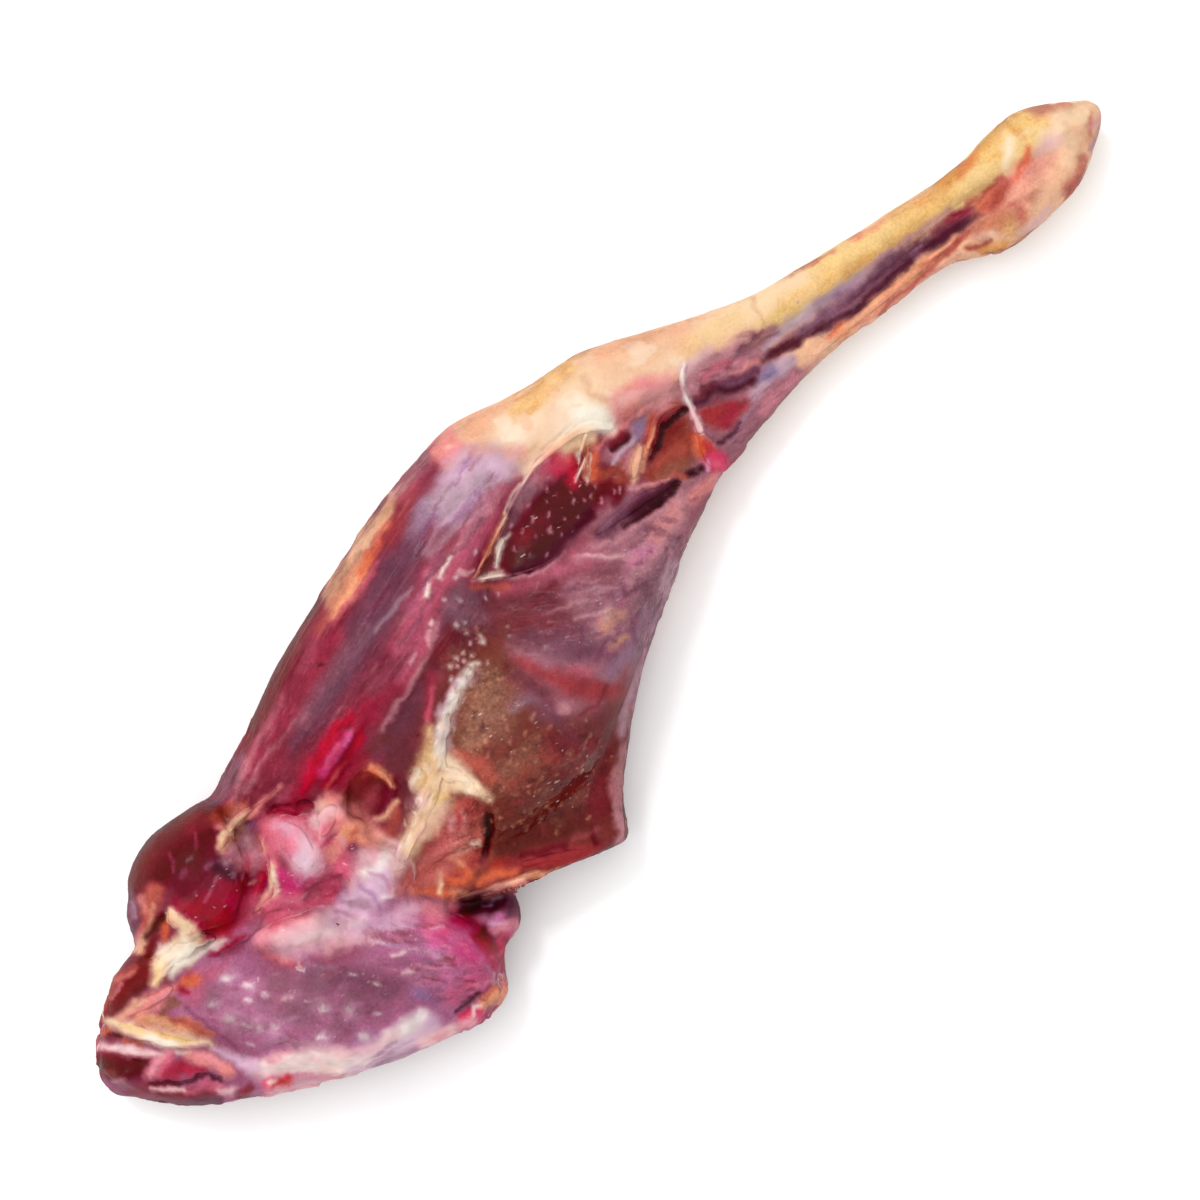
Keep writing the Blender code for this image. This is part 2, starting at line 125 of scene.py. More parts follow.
# A stroke lays a tissue along a path of (x, y, half width) in millimetres: the tissue, its cover,
# how soft its edge is in millimetres, and how far it stands up from the skin in millimetres.
RUMP_END = [
    ("dark_mauve", 1, 4, 0, (-252, -3, 10), (-238, -12, 14), (-225, -22, 14)),
    ("dark_wine", 1, 3, 0, (-253, 7, 3), (-249, 2, 6), (-244, -4, 5), (-240, -7, 2)),
    ("claret", .5, 2.5, 0, (-250, 8, 1.5), (-244, 1, 1.6), (-238, -5, 1.6)),
    ("oxblood", .6, 1.5, -.4, (-255, 4, 1), (-251, 0, 1)),
    # Painted highlight: a pale pink dot on the dark red muscle at the tip.
    ("pink_grey", .7, 1.5, .2, (-254, -2, .8), (-251, -3.5, 1)),
    ("blush", .8, 1.5, .2, (-256, 7, 1), (-252, 11, 1), (-247, 14, 1.5)),
    ("plum", 1, 2.5, 0, (-260, 2, 1.2), (-260, -5, 1.8), (-254, -11, 2)),
    ("violet", .5, 1.5, .2, (-257, -8, .8), (-252, -12, .8)),
    ("orange", .8, 2, 0, (-248, 13, 1), (-244, 14, 1.4)),
    ("wine", 1, 3, 0, (-252, -8, 2), (-246, -12, 3), (-240, -17, 2)),
    ("pink", 1, 2.5, .4, (-243, -9, 1.8), (-236, -8, 2.4), (-231, -9, 1.4)),
    ("rose", .8, 2, .2, (-241, -12, 1), (-234, -11, 1.6)),
    ("claret", 1, 2.5, .3, (-239, -14, 2), (-233, -16, 3), (-229, -23, 1.6)),
    ("maroon", .8, 2, 0, (-246, -17, 2), (-239, -23, 2.4), (-232, -30, 2)),
    ("blush", .9, 2, .3, (-238, -23, 1), (-232, -27, 1.8), (-229, -31, 1.6)),
    ("pale_pink", .9, 1.2, .5, (-246, -13, .5), (-243.5, -17, .9), (-238, -22, .6)),
    ("dark_plum", .8, 2, -.3, (-248, -19, .8), (-240, -27, 1.2), (-232, -34, 1.2)),
    # Painted highlights: violet-grey along the dark plum rim.
    ("violet_grey", .5, 1.4, .3, (-246, -22, .6), (-239, -29, .8), (-233, -34, .5)),
    ("black_plum", .8, 1.2, -1.3, (-245, -12, .3), (-239, -19, .6), (-232, -23, .5), (-227, -29, .6)),
    ("salmon", 1, 2.5, .3, (-228, -14, 1.8), (-225, -21, 2.8), (-223, -28, 2.4)),
    ("pink", .8, 2, .3, (-226, -16, 1), (-223, -25, 1.6)),
    ("ivory", .6, 1.5, .3, (-230, -11, 1.2), (-227, -14, .8)),
    ("lilac", .9, 2.5, .2, (-220, -20, 1), (-218, -27, 1.8), (-215, -33, 3)),
    ("pale_pink", .9, 2, .3, (-230, -31, 1), (-227, -34, 1.6)),
    ("wine", 1, 2, 0, (-227, -38, 1.6), (-221, -38, 2)),
    ("claret", .6, 1.5, .2, (-225, -37, 1), (-221, -39, .8)),
    ("pale_pink", 1, 2, .7, (-249, 10, 1.2), (-244, 4, 2), (-239, -3, 2), (-235, -7, 1)),
    ("white", .5, 1.2, .3, (-247, 8, .5), (-242, 1, .6)),
    ("orange", .7, 1.5, 0, (-242, 7, .8), (-238, 0, .9)),
    ("umber", .6, 1.2, -.4, (-241, 7, .4), (-237, 0, .5)),
    # Painted shade: dark brown inside a small hole.
    ("dark_brown", .9, 1.4, -1.2, (-244, 12, .7), (-241.5, 8.5, 1)),
    ("apricot", 1, 3, .3, (-232, 9, 2), (-226, 2, 3), (-221, -7, 2.6), (-218, -14, 1.6)),
    ("tan", .8, 2, 0, (-229, 5, 1.2), (-224, -3, 1.4)),
    ("rust", .9, 2, -.3, (-222, 0, 1), (-219, -8, 1.6), (-217, -15, 1.2)),
    ("cream", 1, 2.2, 1.3, (-241, 16, 1.8), (-237, 8, 2.8), (-233, 1, 3), (-228, -6, 2.8),
     (-222, -14, 1.8), (-219, -18, .8)),
    ("butter", .6, 1.6, .3, (-239, 12, 1), (-235, 5, 1.4)),
    ("snow", .9, 2, .5, (-235, 2, 1.2), (-231, -4, 2), (-228, -8, 1.2)),
    ("honey", .7, 1.4, 0, (-231, 1, .7), (-227, -5, .8), (-223, -12, .7)),
    ("umber", .9, 2, -.8, (-224, 5, 1.2), (-219, 4.5, 1.8), (-217, 2, 1.4)),
    ("salmon", 1, 3, .6, (-236, 14, 1.8), (-228, 11, 3), (-219, 8.5, 2.8), (-214, 8, 1.4)),
    ("peach", .7, 2, .3, (-237, 15, 1.4), (-231, 13.5, 1.6), (-226, 12.5, 1)),
    ("pink", .7, 1.6, .3, (-224, 9, 1), (-217, 7.5, 1.2)),
    ("mahogany", 1, 3, 0, (-237, 19, 2.5), (-228, 20, 4), (-218, 20, 4.5), (-211, 24, 2)),
    ("dark_brown", .6, 2.5, -.4, (-236, 17, 1.2), (-229, 16.5, 1.8), (-222, 16, 1.4)),
    ("rust", .9, 2, .5, (-239, 20.5, 1.2), (-232, 24, 1.8), (-225, 24.5, 1.6), (-219, 23, 1)),
    # Painted highlights: pink and salmon along the rusty ridge.
    ("pink", .6, 1.2, .3, (-234, 21, .5), (-229, 22, .6)),
    ("salmon", .5, 1.4, .3, (-229, 24, .9), (-221, 22.5, .8)),
    ("mahogany", .7, 2, 0, (-221, 18, 1.2), (-215, 18, 1.6)),
    ("peach", .9, 2, .4, (-214, 26, 1.4), (-209, 28, 1.8), (-204, 30, 1.2)),
    ("pink", .6, 1.5, .2, (-212, 29, .9), (-207, 32, .9)),
    ("cream", 1, 2, 1, (-219, 14, 1.6), (-211, 17, 3.6), (-203, 15, 5.5), (-196, 16, 4)),
    ("ivory", .9, 2.2, .8, (-207, 20, 2.4), (-205, 14, 3.4), (-199, 15, 3)),
    ("snow", .9, 2, .6, (-211, 12.5, 2), (-202, 12, 3.2), (-195, 10.5, 2.4), (-188, 7.5, 1)),
    ("butter", .8, 1.6, 0, (-218, 14, 1.2), (-214, 16, 1)),
    ("cream", 1, 2, .5, (-196, 27, 2), (-196, 22, 2.6), (-195, 17, 2.6)),
    ("peach", .8, 2, .3, (-197, 27, 1.4), (-198, 22, 1)),
    ("orange", .9, 2, 0, (-204, 23, 1.2), (-200, 27, 1.6)),
    ("rust", 1, 3, .5, (-207, 31, 1.6), (-202, 34, 3), (-195, 38, 3.6)),
    ("salmon", .7, 2, .3, (-203, 35, 1.2), (-200, 40, 1.4)),
    ("peach", .5, 1.6, .2, (-204, 31, .8), (-199, 34, 1)),
    ("dark_brown", 1, 1.8, -1.4, (-209, 27, .8), (-204, 28, 1.8), (-199, 29, 1.6)),
    ("mahogany", .8, 2, -.4, (-212, 22, 1.2), (-207, 25, 1)),
    ("plum", .9, 2, .2, (-210, 33, 1.2), (-205, 39, 1.8), (-201, 45, 1.6)),
    ("lilac_grey", .6, 1.6, .3, (-207, 36, .9), (-203, 41, 1)),
]

RED_LOBE = [
    ("maroon", 1, 3, 0, (-195, 46, 6), (-180, 48, 8), (-165, 47, 7)),
    ("dark_wine", 1, 5, 0, (-192, 40, 4), (-178, 38, 6), (-166, 38, 5)),
    ("brick", .5, 4, 0, (-166, 45, 3), (-159, 41, 3)),
    ("brown", .6, 3, 0, (-197, 46, 2), (-183, 51, 2.4), (-166, 50, 2)),
    ("oxblood", 1, 4, 0, (-190, 24, 5), (-183, 17, 8), (-172, 15, 6)),
    ("crimson", .6, 5, 0, (-192, 17, 3), (-186, 11, 5), (-178, 10, 4)),
    ("dark_wine", .7, 5, 0, (-186, 30, 4), (-174, 31, 5)),
    ("claret", .5, 4, 0, (-178, 20, 3), (-170, 12, 3)),
    ("raspberry", .5, 3, 0, (-176, 12, 2.4), (-168, 10, 2)),
    ("red", .4, 3, 0, (-187, 11, 2), (-181, 8, 1.6)),
    ("dark_plum", .9, 3, .5, (-171.5, 27.5, 2.6), (-168.5, 21, 3)),
    ("plum", .7, 2, .2, (-169, 27, 1.6), (-167, 22, 1.8)),
    ("mauve", .5, 1.5, .3, (-174.5, 29.5, .9), (-172, 29, .5)),
    ("wine", .6, 2, 0, (-179, 22, .6), (-177, 21, .5)),
    ("mauve", .4, 1.4, .2, (-183, 33.5, .7), (-180.5, 34.5, .9)),
    ("blush", .5, 1.3, .2, (-184, 37, .5), (-182, 40, .6), (-181, 44, .4)),
    ("blush", .5, 1.3, .2, (-171, 38, .5), (-168, 42, .6)),
    ("red", 1, 1.6, 0, (-197, 14.5, 1), (-193.5, 12.5, 1.6)),
    # Painted highlight: a small white glint.
    ("snow", .6, 1.2, .4, (-168, 14, .5), (-165.5, 13, .8)),
]

HIP = [
    ("blush", 1, 4, 0, (-168, 4, 5), (-155, 0, 8), (-140, -5, 6)),
    ("fascia", 1, 3, .6, (-166, 27, 2.5), (-160, 24, 5), (-155, 27, 4)),
    ("pink_grey", .8, 3, .3, (-163, 28, 2), (-158, 27, 3)),
    ("mauve", .6, 2.5, 0, (-160, 20, 2.5), (-164, 16, 1.4)),
    ("violet", .8, 3, 0, (-151, 29, 2), (-148, 27, 1.6)),
    ("magenta", 1, 3, 0, (-158, 12, 2), (-157, 5, 3.4), (-151, 1, 2.4)),
    ("rose", .8, 3, .2, (-156, 14, 1.6), (-152, 20, 1.6), (-149, 24, 1.6)),
    ("rose", .9, 5, .6, (-146, 25, 4), (-142, 18, 7), (-143, 10, 7)),
    ("pink", .9, 6, .8, (-146, 22, 3.4), (-143, 16, 6), (-144, 8, 7)),
    ("pale_pink", .8, 6, .5, (-149, 18, 2), (-146, 12, 5), (-147, 5, 5)),
    ("lilac", .8, 6, .5, (-143, 19, 3), (-145, 10, 5), (-148, 4, 4)),
    ("white", .3, 5, .2, (-143, 15, 1.2), (-145, 9, 1.8), (-149, 4, 2)),
    ("mauve", .5, 2, 0, (-150, 11, 1.2), (-147, 15, 1.4)),
    ("rose", .5, 2.5, 0, (-140, 24, 2), (-138, 20, 1.6)),
    ("blush", .7, 3, 0, (-136, 28, 3), (-128, 25, 3)),
    ("pink", 1, 3, .8, (-136, 9, 3), (-130, 12, 6), (-124, 12, 4.5)),
    ("pale_pink", .8, 3, .5, (-134, 14, 2), (-127, 15, 3), (-124, 9, 2.4)),
    ("peach", .6, 2.5, .2, (-128, 17, 1.6), (-122, 15, 1.6)),
    ("rose", .6, 2, -.3, (-138, 9, 1.2), (-133, 10, 1.4), (-128, 8, 1)),
    ("salmon", 1, 3, .3, (-138, 0, 3), (-130, 2, 3.4), (-124, 1, 3.4)),
    ("apricot", 1, 3, .4, (-129, 3, 2.4), (-123, 2, 3), (-126, -4, 2.4)),
    ("orange", .5, 2, 0, (-130, -1, 1.2), (-125, 1, 1.2)),
    ("blush", .7, 1.2, -.6, (-139, 5, .5), (-135, 4, .9), (-130, 5, .4)),
    ("pale_pink", .7, 1.2, .4, (-137, 8, .4), (-133, 14, .6), (-129, 18.5, .5)),
    ("oxblood", 1, 1.6, -2, (-142.5, 28, .9), (-139, 26.5, 1.3), (-135, 21, 1.4), (-130.5, 19, .8)),
    ("crimson", .9, 2, -.4, (-168, 10, 1.2), (-163, 13, 1.5), (-158, 16.5, .9)),
    ("cream", 1, 1.6, .9, (-157, 16, .8), (-161, 10, 1.6), (-163, 6.5, 2.2), (-168, 6.8, 1.6),
     (-173, 6, .8)),
    ("snow", .6, 1.2, .2, (-159, 12, .5), (-162, 6.5, 1.2)),
    ("apricot", 1, 1.8, .3, (-155, 20, 1.4), (-153.5, 23, 1.2)),
    ("orange", 1, 3, 0, (-158, 42, 2), (-152, 39, 2.4), (-148, 37, 1.2)),
    ("salmon", .8, 2.5, .3, (-160, 38, 1.6), (-150, 37, 1.8)),
    ("peach", 1, 2, .8, (-166, 31, 1), (-158, 35, 2), (-150, 34, 2)),
    ("cream", .7, 1.5, .3, (-163, 33.5, .8), (-157, 35.5, 1), (-152, 35, .8)),
    ("tan", .7, 2, .2, (-167, 29.5, 1), (-160, 31, 1.4), (-154, 31, 1)),
    ("salmon", 1, 1.6, .6, (-150, 32.5, 1.2), (-142, 33, 1), (-134.5, 32.4, .6)),
    ("claret", 1, 4, 0, (-138, 24, 2), (-122, 28, 5), (-104, 30, 5.5), (-92, 28, 3.5)),
    ("crimson", 1, 2, .8, (-131, 24, .8), (-122, 27, 2.2), (-112, 30.5, 2.4), (-103, 33.5, 2.2),
     (-97, 32, 1)),
    ("magenta", .9, 2, .6, (-119, 24.5, 1.6), (-111, 26.5, 2), (-103, 27.5, 2)),
    ("rose", .6, 1.4, .3, (-116, 25.5, .6), (-108, 28, .7)),
    ("crimson", 1, 2, 0, (-121, 21, 1), (-110, 21.5, 1.6), (-99, 23.5, 1.8)),
    ("orchid", .6, 1.5, .3, (-106, 26, 1), (-101, 28, 1)),
    ("orange", 1, 1.5, .4, (-120, 19.5, .9), (-115, 20, 1.3), (-110, 21, .6)),
    ("apricot", .8, 1.2, .2, (-118, 20, .5), (-114, 20.5, .7)),
    ("salmon", .9, 2.5, .4, (-122, 17, 2), (-119, 12, 1.4), (-119, 6, 1)),
    ("maroon", 1, 3, -1.2, (-116, 4, 4), (-111, 8, 5.5)),
    ("oxblood", 1, 1.5, -.4, (-117, 15, 1), (-113, 18.5, 1.6)),
    ("brown", .9, 2.5, -.8, (-118, 9, 1.6), (-113, 13, 2), (-106, 17, 1.4)),
    ("blush", .5, 2.5, .3, (-114, 4, 2), (-110, 7, 1.6)),
    ("rust", 1, 3, .4, (-107, 13, 2.4), (-104, 7, 2)),
    ("apricot", .8, 2, .5, (-106, 13, 1), (-103.5, 8, 1.4), (-104, 3, .8)),
    ("orange", .6, 2, .2, (-109, 13, 1), (-106, 10, .9)),
    ("peach", .9, 2, .4, (-117, -1, .8), (-113, -3.5, 1.6), (-108, -2, 1.2)),
    ("rust", .8, 2.5, 0, (-116, -8, 2), (-110, -5, 1.8)),
]

RUMP_EYE = [
    ("mauve", .5, 8, 0, (-208, -6, 6), (-200, -20, 7)),
    ("dark_mauve", 1, 8, 0, (-185, -20, 8), (-174, -38, 12), (-160, -50, 8)),
    ("plum", .6, 7, 0, (-176, -26, 5), (-166, -38, 6), (-154, -50, 5)),
    ("dusk", .4, 4, 0, (-196, -20, 3), (-190, -34, 4), (-180, -48, 4)),
    ("blush", .6, 4, 0, (-211, -1, 3), (-203, 2, 3), (-196, 0, 2)),
    ("orange", 1, 2.5, .3, (-211, 6, 1.6), (-206, 4, 2.6)),
    ("red", .4, 2, 0, (-208, 6.5, 1), (-204, 7, .8)),
    ("oxblood", .9, 1.6, 0, (-213.5, 7, 1.2), (-211.5, 2, 1)),
    ("plum", .7, 2, -.6, (-216, -2, 1), (-216.5, -12, 1), (-215.5, -24, 1)),
    ("oxblood", .9, 1.5, -1.4, (-195, 6.5, .8), (-189, 4.5, 1.2), (-183, 2.5, .9)),
    ("wine", .7, 2.5, -.3, (-192, 3, 1.4), (-187, 1, 1.2)),
    ("pale_pink", 1, 3.5, 0, (-216, -34, 2), (-208, -40, 4.5), (-200, -48, 5), (-190, -56, 5)),
    ("white", .6, 3, .3, (-212, -35, 2), (-203, -44, 2.5), (-199, -50, 2)),
    ("ivory", .7, 2.5, .3, (-195, -53, 2), (-190, -58, 2.4), (-184, -61, 1.6)),
    ("rose", .5, 2, 0, (-209, -36, 1), (-201, -39, 1.4)),
    ("blush", .4, 2, -.2, (-206, -48, 1), (-199, -55, 1.2), (-192, -61, 1)),
    ("lilac", 1, 4, 0, (-188, -60, 3), (-172, -65, 5), (-158, -68, 5)),
    ("white", .8, 3, .3, (-173, -61, 2), (-163, -64, 3), (-156, -65, 2)),
    ("violet_grey", .7, 1.4, -.8, (-184, -62, .5), (-177, -64, .8), (-170, -65, .5)),
    ("violet", .6, 2.5, 0, (-180, -55, 2), (-174, -59, 1.6)),
    ("violet_grey", .7, 3, 0, (-183, -66, 1.6), (-172, -71, 2), (-164, -74, 1.6)),
    ("lilac_grey", .6, 2, .1, (-178, -68, 1), (-168, -72, 1)),
    ("mauve", .7, 1.6, 0, (-202, -57, .7), (-192, -62, .8), (-185, -66, .8)),
    ("rose", 1, 2.5, 1.2, (-215, -42, 2.2), (-210, -47, 2.6)),
    ("red", .9, 1.8, .3, (-213, -44, 1), (-209, -47, 1.6)),
    # Painted highlight: a white glint on the red lump.
    ("snow", .7, 1.2, .3, (-214, -42, .9), (-212, -43.5, .7)),
    ("raspberry", .8, 1.5, 0, (-216, -45, .8), (-210, -51, .8), (-204, -55, .5)),
]

# Painted highlights: white glints on the rump's wet bumps, each a round spot with a short tail.
GLINTS = [("white", .85, 1.8, .5, (x, y, r), (x + 1.2, y - 1.6, r * .6)) for x, y, r in (
    (-209, -7, .9), (-209, -15, 1.4), (-198, -3, 1), (-196, -11, 1.3), (-200, -15, .8), (-187, -25, 1.2),
    (-204, -25, .7),
    (-199, -29, .9), (-180, -38, 1.2), (-174, -44, 1.3), (-190, -44, 1), (-178, -55, 1), (-207, -21, .5),
    (-193, -19, .6),
    (-185, -15, .5), (-211, -27, .5), (-168, -52, .6), (-160, -44, .4), (-183, -31, .5), (-165, -35, .4))]
# Painted sheen: soft pale lilac highlights on the rump's wet bumps, each a little raised.
SHEEN = [("lilac", .45, 5, .8, (x, y, r)) for x, y, r in (
    (-209, -8, 3), (-208, -17, 3), (-197, -4, 3), (-195, -13, 3), (-187, -26, 3), (-199, -30, 2.5),
    (-180, -39, 3),
    (-173, -46, 3), (-189, -46, 3), (-178, -57, 3), (-203, -24, 2.5))]

MEMBRANES = [
    ("pink", 1, 4, .5, (-180, -3, 4), (-170, -3, 6), (-163, -12, 5)),
    ("pale_pink", .8, 5, .3, (-174, -7, 3), (-166, -12, 4.5), (-156, -16, 5)),
    ("red", .6, 3, 0, (-183, -6, 1.4), (-180, -13, 2.2), (-176, -19, 1.4)),
    ("salmon", .6, 3, 0, (-182, -5, 1.4), (-178, -15, 1.4)),
    ("lilac", .4, 4, .2, (-170, -10, 2), (-162, -15, 2.4), (-154, -19, 2)),
    ("rose", 1, 3.5, 0, (-172, 0, 3), (-160, -3, 4), (-150, -9, 3)),
    ("magenta", .7, 3, -.3, (-160, -2, 2), (-152, -2, 3), (-145, -5, 3)),
    ("oxblood", .7, 1.4, -1.2, (-172, 5, .5), (-166, 1, .8)),
    ("pale_pink", .6, 1.4, .3, (-166, -2, .7), (-160, -6, .8), (-155, -10, .6)),
    ("crimson", .7, 1.3, -1.2, (-156, -4, .6), (-151, -7, 1), (-146, -10, 1), (-141.5, -7.5, .8)),
    ("rose", .8, 2.5, 0, (-139, -2, 1.8), (-135, -3, 1.4)),
    ("lilac", 1, 4, .6, (-156, -20, 4), (-146, -19, 6), (-134, -20, 6), (-128, -16, 4)),
    ("pale_pink", .8, 3, .2, (-140, -12, 3), (-130, -10, 4), (-122, -10, 4), (-122, -20, 3)),
    ("white", .7, 2.5, .3, (-136, -12, 1.6), (-130, -16, 2), (-124, -14, 2)),
    # Painted shadows: darker strokes across the lilac film where its folds cast shade.
    ("violet", .45, 2, -.4, (-139, -14, .8), (-138, -20, 1.2), (-140, -26, .8)),
    ("mauve", .5, 1.6, -.5, (-133, -14, .6), (-131, -21, .8), (-132, -27, .5)),
    ("dark_mauve", .4, 1.5, -.4, (-152, -15, .6), (-149, -22, .7), (-147, -29, .6)),
    ("white", .6, 1.2, .5, (-136, -24, .6), (-133, -27, .8), (-131, -25, .5)),
    ("pink_grey", .9, 3, 0, (-164, -24, 2), (-156, -27, 3), (-150, -31, 3)),
    # Painted shadow: wine along the edge where the pale film lies over the rump muscle.
    ("wine", .5, 3, -.5, (-170, -22, 1.6), (-163, -28, 2), (-156, -33, 1.4)),
    ("orchid", 1, 5, 0, (-143, -38, 6), (-135, -50, 9), (-138, -64, 9)),
    ("mauve", .8, 3, 0, (-150, -38, 2.4), (-146, -52, 3), (-143, -66, 3)),
    ("violet", .5, 2.5, 0, (-148, -34, 1), (-142, -44, 1.6), (-139, -56, 1.4)),
    ("lilac", .6, 2, .3, (-150, -32, .8), (-144, -40, 1.2), (-138, -50, 1), (-136, -58, .6)),
    ("lilac", .6, 2, .3, (-141, -34, 1), (-134, -40, 1.6), (-130, -46, .8)),
    ("pink", .7, 2.5, .2, (-136, -32, 2), (-129, -37, 2), (-126, -43, 1)),
    ("magenta", .75, 5, .3, (-131, -44, 4), (-127, -54, 5), (-130, -64, 4)),
    ("rose", .5, 2.5, .2, (-129, -46, 1.4), (-127, -54, 1.6)),
    ("mauve", .6, 1.4, -.5, (-140, -40, .6), (-137, -50, .6), (-134, -58, .5)),
    ("dark_mauve", .5, 1.6, -.4, (-146, -44, .6), (-143, -54, .7), (-141, -62, .5)),
    ("raspberry", .5, 4, 0, (-143, -68, 3), (-132, -71, 3)),
    ("violet", .8, 3.5, 0, (-151, -57, 2.4), (-148, -64, 2)),
    ("blue_grey", .5, 2, 0, (-151, -58, 1.4), (-149, -62, 1)),
    ("snow", .7, 1.2, .4, (-148, -41, .6), (-144.5, -43.5, .9)),
    ("snow", .6, 1.2, .3, (-151, -48, .6), (-147, -50, .8)),
    ("snow", .5, 1.2, .3, (-151, -34, .4), (-148, -36, .6)),
    ("lilac", .6, 1.2, .3, (-131, -44, .6), (-128, -46, .8)),
    ("oxblood", .9, 3, 0, (-121, -44, 1.6), (-120, -54, 2.6), (-122, -64, 1.8)),
    ("crimson", .6, 2.5, 0, (-124, -46, 1), (-122, -58, 1.4), (-125, -68, 1.2)),
    ("pale_pink", 1, 2.5, 0, (-163, -71, 1.6), (-154, -76, 2.4)),
    ("pink", .6, 2, 0, (-160, -74, 1), (-152, -78, 1)),
    ("raspberry", 1, 2, .8, (-148, -77, 2), (-140, -79, 2.4)),
    ("crimson", .8, 1.5, 0, (-147, -75.5, 1), (-141, -76.5, 1)),
    ("apricot", 1, 2, .8, (-137, -78.5, 2), (-130, -79.5, 2.4), (-127, -77, 1.2)),
    ("orange", .7, 1.5, 0, (-136, -76.5, .9), (-129, -76.5, 1)),
    # Painted highlights: white glints on the raspberry lump.
    ("snow", .8, 1, .3, (-143, -78, .6), (-140, -76.5, .8), (-139, -78.5, .5)),
    ("black_plum", .9, 1.2, -1.4, (-147, -73, .4), (-141, -74, .9), (-136, -74.5, .5)),
    ("brick", .6, 1.2, -.6, (-136, -75, .4), (-127, -75, .5)),
    ("snow", .7, 1, .4, (-131, -75, .5), (-126.5, -73.5, .6)),
    ("crimson", .9, 2, 0, (-125, -71, 1.2), (-120, -67, 1.6)),
    ("rose", .7, 1.4, .2, (-124, -67, .6), (-120, -69, .7)),
    ("dark_plum", 1, 3, 0, (-117, -47, 4), (-110, -52, 5.5), (-105, -55, 4)),
    ("black_plum", .8, 3, -.5, (-115, -49, 2.5), (-109, -52, 3), (-104, -53, 1.6)),
    ("dark_wine", .9, 2, 0, (-119, -60, 2.5), (-116, -66, 2)),
    ("plum", 1, 2.5, 0, (-107, -62, 2), (-102, -58, 2)),
    ("orchid", 1, 2.5, .6, (-115, -61, 2.2), (-111, -60, 2)),
    ("lilac", .7, 1.6, .3, (-114, -60, 1.2), (-111, -63, 1)),
    # Painted highlights: violet and violet-grey on the dark plum chunk.
    ("violet", .8, 1.6, .4, (-113, -52.5, .7), (-110, -54, .9)),
    ("violet_grey", .8, 1.5, .3, (-108, -53, .8), (-105, -54.5, .7)),
    ("raspberry", .8, 1.6, 0, (-118, -66, 1), (-113, -66.5, .8)),
]

